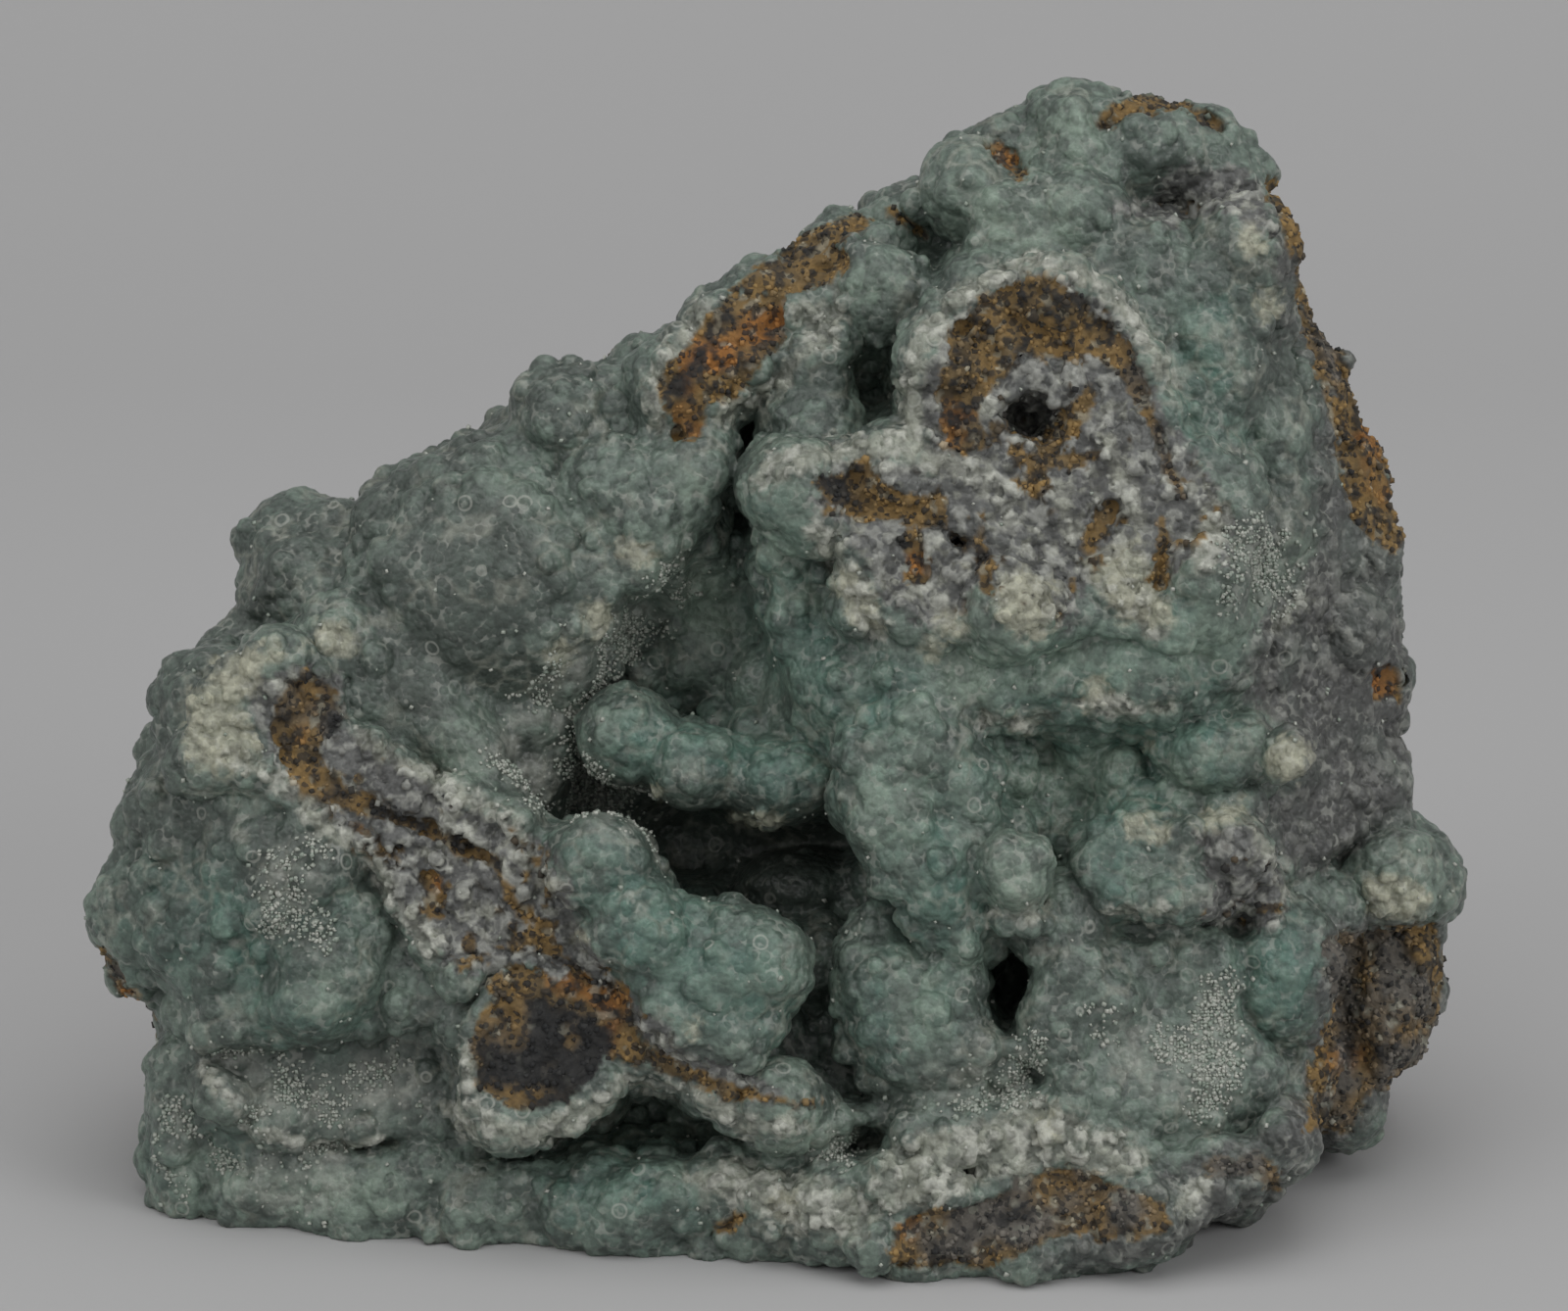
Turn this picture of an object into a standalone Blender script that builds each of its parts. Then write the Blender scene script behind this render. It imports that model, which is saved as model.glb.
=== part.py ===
"""Smithsonite cabinet specimen: blue-green botryoidal crust round an open vug, on ochre and black gangue.

One loose piece of rock, 138 mm wide, 111 mm high and 76 mm deep, resting on a flat base.
Units are metres, +Z is up and the showy side faces -Y. The origin is under the middle of the
specimen, on the surface that it rests on.

The features are set out as a collector would measure them, in millimetres on a front view that
looks down a little on the specimen:
  across  to the right of the view's centre line
  up      above the line of the lowest front edge
  fore    towards the viewer from the plane through the middle of the rock
"""

import math

import bpy
from mathutils import Matrix, Vector

MM = 0.001

# The front view: how far it looks down, what it is aimed at and from how far away
VIEW_TILT = math.radians(16.0)
VIEW_DISTANCE = 600.0 * MM
AIM = Vector((0.6, -1.7, 54.4)) * MM
AIM_UP = 63.1

# Working resolution of the solid, and how many triangles the finished rock may have
GRAIN = 1.5 * MM
FINE_GRAIN = 1.1 * MM
CUT_GRAIN = 1.4 * MM
TRIANGLES = 9400
BASE_CUT = 80.0 * MM
BASE_CUT_WIDTH = 400.0 * MM
SOFTENING_TURNS = 6
FINE_SOFTENING_TURNS = 3
NAME = "smithsonite"

# Relief of the crust: width of the swellings and how high they stand
RELIEF = {"broken_relief": (15.0, 2.8), "swells": (5.0, 1.2)}

TO_RIGHT = Vector((1.0, 0.0, 0.0))
TO_TOP = Vector((0.0, math.sin(VIEW_TILT), math.cos(VIEW_TILT)))
TO_VIEWER = Vector((0.0, -math.cos(VIEW_TILT), math.sin(VIEW_TILT)))

# Slices of the rock: front face, back face and outline as (across, up), all in millimetres
SLICES = {
    "back_block": (-14, -47, [
        (-56, -14), (-59, 14), (-62, 34), (-59, 52), (-52, 66), (-42, 74), (-30, 82), (-14, 88),
        (0, 93), (16, 99), (34, 103), (46, 99), (56, 89), (61, 76), (61, 56), (64, 42), (65, 30),
        (64, 22), (60, 19.5), (56, 15), (51, 11), (47, 4), (44, -14),
    ]),
    "whole_outline": (-3, -24, [
        (-58, -14), (-61, 6), (-62.5, 18), (-66, 30), (-67.5, 35), (-65, 43), (-61.5, 54),
        (-58, 63), (-51.5, 72), (-46, 77), (-41, 77), (-27, 89), (-18, 94), (-11, 97),
        (-2, 103), (7, 107), (15, 112), (24, 118), (36, 120), (44, 116.5), (51, 107), (56.5, 93),
        (61.5, 81), (62, 68), (62, 52), (65.5, 40), (64.5, 24), (58, 18), (52, 11), (46, 5),
        (42, -14),
    ]),
    "middle": (7, -20, [
        (-46, -14), (-50, 5), (-58, 12), (-60, 18), (-64, 33), (-61, 47), (-56, 59), (-49, 69),
        (-40, 75), (-28, 82), (-14, 87), (-6, 92), (4, 97), (14, 103), (22, 108), (32, 110),
        (42, 108), (48, 99), (51, 88), (53, 74), (53, 60), (54, 48), (56, 38), (54, 24),
        (46, 14), (41, 4), (38, -14),
    ]),
    "left_flank": (12, -10, [
        (-50, 13), (-58, 18), (-62, 34), (-59, 46), (-54, 59), (-48, 61), (-41, 51), (-30, 44),
        (-20, 40), (-10, 38), (-2, 32), (-4, 22), (2, 16), (-10, 13), (-30, 12),
    ]),
    "upper_shell": (9, -10, [
        (-46, 58), (-47, 68), (-40, 74), (-29, 79), (-15, 84), (-9, 84), (-8, 78), (-12, 71),
        (-20, 64), (-31, 59), (-40, 55),
    ]),
    "right_mass": (15, -10, [
        (2, 80), (12, 88), (20, 98), (32, 103), (41, 98), (46, 86), (47, 70), (46, 57), (44, 46),
        (48, 36), (46, 22), (38, 8), (34, -14), (8, -14), (6, 8), (10, 18), (14, 30), (12, 42),
        (6, 54), (4, 66), (-1, 72),
    ]),
    "base_front": (12, -10, [
        (-14, -14), (-18, 7), (-8, 9), (0, 10), (10, 12), (30, 16), (37, 10), (34, -14),
    ]),
}

# Rounded masses: across, up, fore of the middle, then half width, half height and half depth
LOBES = {
    "upper_shell": [
        (-30, 71, 4, 15, 14, 13), (-22, 88, 3, 6, 5.5, 7), (-16, 80, 7, 7, 7, 8),
        (-9, 81, 8, 6.5, 6, 8), (-38, 75.5, -2, 7, 5.5, 8), (-28, 82.8, 0, 8, 5.5, 8),
        (-44, 69.5, 2, 8, 7, 9), (-51, 66, -2, 7, 7.5, 9), (-19, 70, 7, 6, 6, 7),
        (-17, 63, 6, 5, 5, 6), (-40, 62, 6, 9, 8, 9), (-24, 61, 5, 7, 6, 7),
    ],
    "left_mass": [
        (-60, 45, 2, 8, 9, 11), (-62, 36, 3, 8, 7, 10), (-56, 55, 4, 8, 8, 10),
        (-50, 41, 10, 9, 9, 9), (-48, 29, 13, 5.2, 5.4, 6), (-50, 62, 8, 8, 5, 7),
        (-47, 20, 1, 17, 9, 10), (-58, 10, -7, 6, 9, 8), (-50, 6, -6, 14, 8, 9),
        (-36, 32, 8, 9, 9, 9), (-57, 25, 3, 8, 9, 10), (-37, 7, -3, 12, 7, 8),
    ],
    "broken_ridge": [
        (-52, 60, 13, 5, 4, 4), (-46, 54, 14, 5, 5, 5), (-40, 48, 15, 5.5, 5, 5),
        (-33, 43, 15, 5.5, 5, 5), (-28, 37, 16, 5, 5, 5), (-22, 31, 16, 5, 5, 5),
        (-32, 54, 6, 5, 5, 7), (-31, 47, 7, 4, 4, 6),
    ],
    "flap": [
        (-18, 41, 16, 6.2, 5.6, 6), (-14, 34, 19, 6.5, 6, 6), (-6, 32, 19, 6.8, 6.6, 6),
        (-6, 26, 17, 6, 5.5, 6), (-11, 27, 17, 7, 6, 6), (-24, 39, 13, 6, 5, 6),
    ],
    "black_knot": [
        (-25.5, 23.5, 15, 10, 9, 7), (-26, 31, 13, 7, 5, 6), (-14, 20, 14, 8, 4, 6),
        (-4, 17, 15, 7, 3.6, 6), (2, 15, 15, 5, 3.4, 6), (-34, 18, 8, 7, 7, 8),
    ],
    "base_front": [
        (-24, 5, 0, 9, 6, 8), (-12, 6, 5, 8, 6.5, 8), (-2, 6, 7, 8, 6.5, 8),
        (8, 7, 9, 9, 7, 9), (18, 6, 13, 10, 7, 8), (29, 6, 11, 9, 7, 8),
        (24, 14, 12, 12, 6, 9), (35, 10, 5, 7, 7, 9), (43, 13, -6, 7, 7, 9),
    ],
    "arch": [
        (17, 95, 14, 5, 7, 8), (20, 101, 14, 6, 6, 8), (27, 103, 14, 6.5, 5.5, 8),
        (34, 101, 14, 6, 6, 8), (39, 94, 13, 6, 7, 8), (43, 86, 12, 6, 7, 8),
        (15, 87, 15, 6, 6, 8), (26, 88, 12, 10, 9, 8), (6, 83, 13, 7, 5, 7),
        (12, 80, 15, 8, 6, 7), (3, 76, 12, 6, 6, 7), (30, 78, 15, 9, 8, 8),
    ],
    "arch_below": [
        (24.5, 68.5, 22, 4.2, 4, 5), (20, 73, 17, 8, 6, 7), (34, 68, 17, 9, 7, 7),
        (42, 66, 14, 7, 8, 7), (12, 68, 16, 7, 7, 7), (5, 70, 12, 6.5, 8, 7),
        (24, 62, 18, 7, 5, 7), (33, 61, 18, 7, 5, 7), (42, 61, 16, 6, 5, 7),
        (3, 62, 10, 5, 6, 7), (47, 74, 9, 6, 8, 8),
    ],
    "tongue": [
        (11, 60, 16, 7, 7, 7), (10, 52, 17, 6, 6, 7), (12, 45, 18, 6.5, 7, 7),
        (16, 39, 18, 6, 6, 6), (17, 53, 16, 5.5, 7, 7), (23.5, 40.5, 21, 4, 4.2, 5),
        (24, 36, 17, 4.5, 4, 5), (18.5, 33, 17, 3.2, 3, 4), (20, 46, 14, 6, 7, 7),
        (28, 44, 14, 6, 8, 7),
    ],
    "top_crust": [
        (21, 110, 8, 6, 5, 8), (28, 108, 10, 6, 5.5, 8), (36, 107, 9, 6, 6, 8),
        (29, 114.4, 3, 5.5, 4.6, 8), (38, 114.6, 3, 6.5, 6, 9), (44, 108, 2, 6, 7, 9),
        (46, 99, 5, 6.5, 7, 9), (47, 91, 7, 6, 7, 9), (51, 98, -4, 5, 8, 9),
        (14, 107, -2, 6, 5, 8), (9, 101.5, 2, 6, 6, 8), (2, 96, 4, 6, 6, 8),
        (-4, 92, 6, 7, 6, 8), (-9, 90, 7, 6, 6, 7), (0, 86, 5, 5, 5, 7),
        (5, 92, 0, 6, 7, 8), (50, 102, -8, 5, 6, 8),
    ],
    "lower_right": [
        (38, 41, 18, 7, 6, 7), (45, 42, 14, 6.5, 6, 8), (51, 30, 8, 6.5, 6.5, 9),
        (42, 30, 15, 8, 8, 8), (32, 26, 17, 9, 8, 8), (28, 20, 18, 8, 7, 7),
        (40, 20, 13, 9, 8, 9), (47, 22, 8, 7, 8, 9), (13, 26, 14, 8.5, 9.5, 8),
        (9, 36, 8, 4, 4, 7), (50, 16, 1, 6, 7, 9),
    ],
    "right_wall": [
        (43, 54, 12, 6.5, 5.5, 7), (50.5, 52.5, 12, 3.2, 3, 4), (52, 71, 5, 6, 6, 8),
        (55, 60, -2, 7, 8, 10), (60, 84, -8, 4, 7, 9), (61, 76, -9, 3.6, 6, 8),
        (60, 66, -9, 3.4, 4, 8), (61.5, 60, -8, 3, 4, 7), (58, 48, -4, 7, 7, 10),
        (62, 40, -6, 6, 6, 10), (60.5, 28, -9, 6.5, 8, 11), (56, 36, 1, 6, 6, 9),
        (54, 24, -5, 6, 8, 10),
    ],
}

# Hollows cut into the front: the deep vug, its upper recess, and the smaller holes
HOLLOWS = {
    "vug": [
        (-20, 49, 6, 7, 8, 16), (-10, 44, 2, 12, 9, 22), (2, 42, 4, 9, 7, 20),
        (-24, 55, 9, 6, 6, 9), (9, 40, 6, 5, 5, 14), (-14, 57, 6, 8, 9, 13),
        (-4, 63, 10, 8, 12, 13), (-3, 74, 10, 4, 8, 9), (-32, 57, 17, 9, 6, 8),
        (0, 54, 12, 7, 8, 13), (3, 32, 12, 5, 7, 9),
    ],
    "recess_under_overhang": [
        (27, 51.5, 20, 6, 5, 10), (36, 52, 21, 8, 4.2, 8), (45, 48.5, 24, 5, 3, 7),
    ],
    "small_holes": [
        (23.8, 29.4, 10, 3.2, 4.4, 16), (25, 88.5, 20, 3.4, 2.8, 10), (11, 93, 13, 4, 5, 9),
        (16, 105, 11, 4, 4, 9), (49, 36, 15, 3, 4, 7),
    ],
    "bottom_cave": [
        (-16, 14.6, 14, 9, 4.2, 16), (-9, 14, 12, 7, 3.2, 16), (-42, 11.8, 12, 16, 1.6, 9),
    ],
}

# What stands inside the vug: the ledge across it, its back wall's swells and small balls
INSIDE = {
    "ledge": [
        (-15, 55, 2, 5, 4, 8), (-8, 53, 4, 5.5, 4.6, 9), (0, 50, 5, 5.5, 5, 9),
        (5, 53, 6, 4, 5, 8), (-18, 57, 0, 4, 3.6, 7),
    ],
    "wall_swells": [
        (-8, 66, -6, 8, 8, 8), (1, 62, -4, 6, 9, 8), (-14, 62, -5, 6, 6, 8),
        (35, 51, 6, 5, 5, 6), (-10, 36, -8, 9, 6, 8), (2, 35, -5, 7, 5, 8),
    ],
}

# Flat broken faces at the back and sides: a point on each as (across, up, fore), and which way it faces
BREAKS = {
    "back_left": ((-30, 50, -37), (-0.36, 0.93, 0.10)),
    "back_right": ((34, 55, -42), (0.30, 0.95, 0.10)),
    "back_middle": ((2, 52, -44), (-0.06, 0.99, 0.14)),
    "back_upper": ((20, 92, -34), (0.05, 0.88, 0.47)),
    "back_upper_left": ((-32, 70, -32), (-0.36, 0.72, 0.60)),
    "back_lower": ((0, 14, -40), (0.03, 0.95, -0.30)),
    "right_back": ((58, 50, -26), (0.84, 0.52, 0.12)),
    "left_back": ((-58, 30, -22), (-0.86, 0.50, 0.08)),
}
BREAK_REACH = 120.0 * MM


def place(across, up, fore):
    """The point that a feature of the front view has in space."""
    nearer = 1.0 - fore * MM / VIEW_DISTANCE
    sideways = TO_RIGHT * (across * MM * nearer)
    upwards = TO_TOP * ((up - AIM_UP) * MM * nearer)
    return AIM + sideways + upwards + TO_VIEWER * (fore * MM)


def rock_material():
    """Satin blue-green crust, as one plain finish."""
    material = bpy.data.materials.new("smithsonite_crust")
    material.use_nodes = True
    shader = material.node_tree.nodes["Principled BSDF"]
    shader.inputs["Base Color"].default_value = (0.11, 0.155, 0.135, 1.0)
    shader.inputs["Roughness"].default_value = 0.42
    shader.inputs["Metallic"].default_value = 0.0
    return material


def new_collection(name):
    collection = bpy.data.collections.new(name)
    bpy.context.scene.collection.children.link(collection)
    return collection


def move_to(obj, collection):
    for old in list(obj.users_collection):
        old.objects.unlink(obj)
    collection.objects.link(obj)


def add_lobe(across, up, fore, half_width, half_height, half_depth):
    """A rounded mass, with its height and depth lined up with the front view."""
    bpy.ops.mesh.primitive_ico_sphere_add(subdivisions=3, radius=1.0)
    lobe = bpy.context.object
    size = Matrix.Diagonal((half_width * MM, half_depth * MM, half_height * MM, 1.0))
    turn = Matrix.Rotation(-VIEW_TILT, 4, "X")
    lobe.matrix_world = Matrix.Translation(place(across, up, fore)) @ turn @ size
    return lobe


def add_slice(front, back, outline):
    """A thick slice of the rock with the given outline, square to the front view."""
    curve = bpy.data.curves.new("slice", "CURVE")
    curve.dimensions = "2D"
    curve.fill_mode = "BOTH"
    curve.extrude = (front - back) / 2 * MM
    spline = curve.splines.new("POLY")
    spline.points.add(len(outline) - 1)
    for point, (across, up) in zip(spline.points, outline):
        point.co = (across * MM, (up - AIM_UP) * MM, 0.0, 1.0)
    spline.use_cyclic_u = True
    guide = bpy.data.objects.new("slice_guide", curve)
    bpy.context.scene.collection.objects.link(guide)
    nearer = 1.0 - front * MM / VIEW_DISTANCE
    guide.location = AIM + TO_VIEWER * ((front + back) / 2 * MM)
    guide.rotation_euler = (math.pi / 2 - VIEW_TILT, 0.0, 0.0)
    guide.scale = (nearer, nearer, 1.0)
    bpy.context.view_layer.update()
    graph = bpy.context.evaluated_depsgraph_get()
    mesh = bpy.data.meshes.new_from_object(guide.evaluated_get(graph))
    slab = bpy.data.objects.new("slice", mesh)
    slab.matrix_world = guide.matrix_world
    bpy.context.scene.collection.objects.link(slab)
    bpy.data.objects.remove(guide)
    return slab


def join_as_one(pieces, name, collection):
    """Joins overlapping closed shapes into one mesh in world space."""
    bpy.ops.object.select_all(action="DESELECT")
    for piece in pieces:
        piece.select_set(True)
    bpy.context.view_layer.objects.active = pieces[0]
    bpy.ops.object.join()
    joined = bpy.context.object
    bpy.ops.object.transform_apply(location=True, rotation=True, scale=True)
    joined.name = name
    move_to(joined, collection)
    return joined


def melt_together(obj, voxel):
    """Turns overlapping shapes into the one skin round them all."""
    remesh = obj.modifiers.new("melt", "REMESH")
    remesh.mode = "VOXEL"
    remesh.voxel_size = voxel
    return remesh


def soften(obj, turns, factor=0.5):
    smooth = obj.modifiers.new("soften", "SMOOTH")
    smooth.iterations = turns
    smooth.factor = factor


def hide_helper(obj):
    obj.hide_render = True
    obj.display_type = "WIRE"


def lobe_group(tables, name, collection, voxel, turns):
    """All lobes of the named tables as one softened helper solid."""
    lobes = [add_lobe(*sizes) for table in tables.values() for sizes in table]
    group = join_as_one(lobes, name, collection)
    melt_together(group, voxel)
    soften(group, turns)
    hide_helper(group)
    return group


def add_break(name, spot, facing, collection):
    """A big block whose near face lies in the plane of a broken face."""
    normal = Vector(facing).normalized()
    bpy.ops.mesh.primitive_cube_add(size=2 * BREAK_REACH)
    block = bpy.context.object
    block.name = "break_" + name
    block.rotation_euler = normal.to_track_quat("Z", "Y").to_euler()
    block.location = place(*spot) + normal * BREAK_REACH
    move_to(block, collection)
    hide_helper(block)
    return block


def add_table_block(collection):
    """The block under the rock that leaves it a flat base at height zero."""
    bpy.ops.mesh.primitive_cube_add(size=1.0)
    block = bpy.context.object
    block.name = "under_base"
    block.scale = (BASE_CUT_WIDTH, BASE_CUT_WIDTH, BASE_CUT)
    block.location = (0.0, 0.0, -BASE_CUT / 2)
    move_to(block, collection)
    hide_helper(block)
    return block


def cut(obj, cutter, operation="DIFFERENCE"):
    boolean = obj.modifiers.new(operation.lower() + "_" + cutter.name, "BOOLEAN")
    boolean.operation = operation
    boolean.object = cutter
    boolean.solver = "EXACT"


def add_relief(obj, name, size, strength):
    """Fine swelling of the crust, from a procedural texture."""
    texture = bpy.data.textures.new(name, "CLOUDS")
    texture.noise_scale = size
    displace = obj.modifiers.new(name, "DISPLACE")
    displace.texture = texture
    displace.texture_coords = "GLOBAL"
    displace.strength = strength
    displace.mid_level = 0.5


def faces_after(obj):
    graph = bpy.context.evaluated_depsgraph_get()
    mesh = obj.evaluated_get(graph).to_mesh()
    mesh.calc_loop_triangles()
    count = len(mesh.loop_triangles)
    obj.evaluated_get(graph).to_mesh_clear()
    return count


def build_rock(parts, helpers):
    """The whole specimen as one closed solid."""
    slices = [add_slice(*spec) for spec in SLICES.values()]
    lobes = [add_lobe(*sizes) for table in LOBES.values() for sizes in table]
    rock = join_as_one(slices + lobes, NAME, parts)
    hollows = lobe_group(HOLLOWS, "hollows", helpers, CUT_GRAIN, 2)
    inside = lobe_group(INSIDE, "inside_vug", helpers, CUT_GRAIN, 1)
    melt_together(rock, GRAIN)
    soften(rock, SOFTENING_TURNS)
    for name, (spot, facing) in BREAKS.items():
        cut(rock, add_break(name, spot, facing, helpers))
    cut(rock, hollows)
    cut(rock, inside, "UNION")
    melt_together(rock, FINE_GRAIN)
    soften(rock, FINE_SOFTENING_TURNS)
    for name, (width, height) in RELIEF.items():
        add_relief(rock, name, width * MM, height * MM)
    thin = rock.modifiers.new("thin_out", "DECIMATE")
    thin.ratio = TRIANGLES / faces_after(rock)
    cut(rock, add_table_block(helpers))
    rock.data.materials.clear()
    rock.data.materials.append(rock_material())
    return rock


def clear_scene():
    for obj in list(bpy.data.objects):
        bpy.data.objects.remove(obj, do_unlink=True)


def main():
    clear_scene()
    parts = new_collection("smithsonite_specimen")
    helpers = new_collection("cutters")
    rock = build_rock(parts, helpers)
    rock.data.shade_smooth()


if __name__ == "__main__":
    main()
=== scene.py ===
"""Smithsonite specimen: the looks of the blue-green crust, its vug, drusy sparkle and gangue."""

import math

import bpy
import numpy as np
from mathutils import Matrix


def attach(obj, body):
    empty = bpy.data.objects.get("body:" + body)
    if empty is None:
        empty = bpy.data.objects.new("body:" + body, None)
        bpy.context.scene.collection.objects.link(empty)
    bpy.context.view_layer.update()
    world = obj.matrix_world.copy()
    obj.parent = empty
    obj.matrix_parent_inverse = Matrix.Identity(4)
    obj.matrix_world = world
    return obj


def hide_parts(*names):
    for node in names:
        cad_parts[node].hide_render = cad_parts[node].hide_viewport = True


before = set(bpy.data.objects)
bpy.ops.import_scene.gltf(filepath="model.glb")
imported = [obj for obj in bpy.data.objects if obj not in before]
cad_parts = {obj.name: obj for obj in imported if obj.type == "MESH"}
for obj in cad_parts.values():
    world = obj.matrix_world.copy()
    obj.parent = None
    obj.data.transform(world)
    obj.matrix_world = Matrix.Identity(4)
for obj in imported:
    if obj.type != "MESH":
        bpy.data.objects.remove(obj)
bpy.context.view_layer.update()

import openvdb
from bpy.props import FloatProperty, FloatVectorProperty, IntProperty, PointerProperty
from mathutils import Vector

bl_info = {
    "name": "Smithsonite specimen",
    "version": (1, 0, 0),
    "blender": (4, 5, 0),
    "location": "View3D > Sidebar > Specimen",
    "description": "Builds a botryoidal smithsonite specimen round its packed solid",
    "category": "Add Mesh",
}

MM = 0.001
NODE = "smithsonite"

# The front view that every feature is measured in, in millimetres: across to the right, up from
# the lowest front edge, and fore towards the viewer. It looks down on the specimen a little.
VIEW_TILT = math.radians(16.0)
VIEW_DISTANCE = 600.0
AIM = (0.6, -1.7, 54.4)
AIM_UP = 63.1
PICTURE_WIDTH = 160.0

TO_TOP = (0.0, math.sin(VIEW_TILT), math.cos(VIEW_TILT))
TO_VIEWER = (0.0, -math.cos(VIEW_TILT), math.sin(VIEW_TILT))
VIEW_AXES = ((1.0, 0.0, 0.0), TO_TOP, TO_VIEWER)

# Grid step of the large shape, which is halved for the finished skin
COARSE_STEP = 0.68

# Box of the sampled space in the view's own axes (across, up from the aim, fore)
LOW = (-73.0, -66.5, -54.0)
HIGH = (73.0, 61.0, 33.0)

# Value of the distance field where nothing has been added, in millimetres
OPEN_SPACE = 6.0

# A distance beyond any in the rock
VERY_FAR = 1e9

# How far the noise reaches past the sampled space, in millimetres
NOISE_MARGIN = 8.0

# Scattered centres: how many cells until they repeat, and how near a cell's side one may be
CELL_REPEAT = 64
CELL_MARGIN = 0.12

# Radii in millimetres of the fillets where the masses of the rock meet
SLICE_FILLET = 5.0
LOBE_FILLET = 2.8
PLATE_FILLET = 1.4
INSIDE_FILLET = 1.2
HOLLOW_FILLET = 2.0
CUT_FILLET = 1.6
BREAK_FILLET = 1.0

# Rounding in millimetres of the slices' edges
SLICE_ROUNDING = 4.0

# A plate with a smaller edge rounding than this is a broken face
SHARP_EDGE = 1.5

# Passes of rounded swellings on the crust, in millimetres: spacing, radius, how far they stand out
# as a share of it, fillet, seed, and the chance of a place to get one. The first two grow on the
# large shape, and the others on the skin that those leave.
SWELLINGS = {
    "lobes": (6.2, 4.0, 0.28, 0.6, 71, 0.45),
    "knobs": (3.4, 2.0, 0.40, 0.2, 72, 0.5),
    "beads": (2.0, 1.2, 0.42, 0.12, 73, 0.22),
    "crumbs": (1.5, 0.8, 0.7, 0.05, 74, 0.7),
}

# Sizes in millimetres of the beads and grains that the stone is made of, and their seeds
CELLS = {"bead": (2.6, 121), "small_bead": (1.35, 122), "sugar": (1.2, 123), "grit": (0.8, 124)}

# Sizes in millimetres of the colour changes over the crust, and their seeds
TONES = {"broad": (9.0, 81), "mid": (3.0, 82), "fine": (1.1, 83)}

# Steps in how strongly the skin is thinned
THIN_LEVELS = 10

# The named parts of the skin, and the most triangles that each may have
PARTS = ("upper_shell", "left_mass", "arch_and_crown", "lower_right", "back_gangue")
MOST_TRIANGLES = 200000

# Where the left and right parts of the skin meet, as up and across
DIVIDE_UP = (0, 28, 40, 55, 84, 97, 120)
DIVIDE_ACROSS = (3, 5, 3, -2, -3, 12, 14)
LEFT_PARTS_MEET = 50
RIGHT_PARTS_MEET = 54

# Height in millimetres above the table from which crystals and grains are set on the skin
CRUMB_HEIGHT = 1.2

# Soft lights: place, width and power in watts
LIGHTS = {
    "overhead": ((0.05, -0.25, 1.15), 1.1, 4.4),
    "left": ((-0.95, -0.75, 0.65), 0.6, 2.2),
    "right": ((0.95, -0.75, 0.60), 0.6, 3.4),
}
LIT_PLACE = (0.0, 0.0, 0.05)

# The paper sweep in metres: where it starts and bends, its bend, and how wide and high it is
PAPER_FRONT = -1.6
PAPER_BEND_AT = 0.35
PAPER_BEND = 0.5
PAPER_BEND_STEPS = 12
PAPER_HALF_WIDTH = 2.0
PAPER_TOP = 2.2

CUBE_POINTS = np.array([(x, y, z) for x in (-1, 1) for y in (-1, 1) for z in (-1, 1)], np.float32)
CUBE_FACES = np.array([(0, 1, 3, 2), (4, 6, 7, 5), (0, 4, 5, 1),
                       (2, 3, 7, 6), (0, 2, 6, 4), (1, 5, 7, 3)])

# Slices of the rock: front face, back face and outline as (across, up)
SLICES = {
    "back_block": (-14, -47, [
        (-56, -14), (-59, 14), (-62, 34), (-59, 52), (-52, 66), (-42, 74), (-30, 82), (-14, 88),
        (0, 93), (16, 99), (34, 103), (46, 99), (56, 89), (61, 76), (61, 56), (64, 42), (65, 30),
        (64, 22), (60, 19.5), (56, 15), (51, 11), (47, 4), (44, -14),
    ]),
    "whole_outline": (-3, -24, [
        (-58, -14), (-61, 6), (-62.5, 18), (-66, 30), (-67.5, 35), (-65, 43), (-61.5, 54),
        (-58, 63), (-51.5, 72), (-46, 77), (-41, 77), (-27, 89), (-18, 94), (-11, 97), (-2, 103),
        (7, 107), (15, 112), (24, 118), (36, 120), (44, 116.5), (51, 107), (56.5, 93), (61.5, 81),
        (62, 68), (62, 52), (65.5, 40), (64.5, 24), (58, 18), (52, 11), (46, 5), (42, -14),
    ]),
    "middle": (7, -20, [
        (-46, -14), (-50, 5), (-58, 12), (-60, 18), (-64, 33), (-61, 47), (-56, 59), (-49, 69),
        (-40, 75), (-28, 82), (-14, 87), (-6, 92), (4, 97), (14, 103), (22, 108), (32, 110),
        (42, 108), (48, 99), (51, 88), (53, 74), (53, 60), (54, 48), (56, 38), (54, 24), (46, 14),
        (41, 4), (38, -14),
    ]),
    "left_flank": (12, -10, [
        (-50, 13), (-58, 18), (-62, 34), (-59, 46), (-54, 59), (-48, 61), (-41, 51), (-30, 44),
        (-20, 40), (-10, 38), (-2, 32), (-4, 22), (2, 16), (-10, 13), (-30, 12),
    ]),
    "upper_shell": (9, -10, [
        (-46, 58), (-47, 68), (-40, 74), (-29, 79), (-15, 84), (-9, 84), (-8, 78), (-12, 71),
        (-20, 64), (-31, 59), (-40, 55),
    ]),
    "right_mass": (15, -10, [
        (2, 80), (12, 88), (20, 98), (32, 103), (41, 98), (46, 86), (47, 70), (46, 57), (44, 46),
        (48, 36), (46, 22), (38, 8), (34, -14), (8, -14), (6, 8), (10, 18), (14, 30), (12, 42),
        (6, 54), (4, 66), (-1, 72),
    ]),
    "base_front": (12, -10, [
        (-14, -14), (-18, 7), (-8, 9), (0, 10), (10, 12), (30, 16), (37, 10), (34, -14),
    ]),
}

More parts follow.
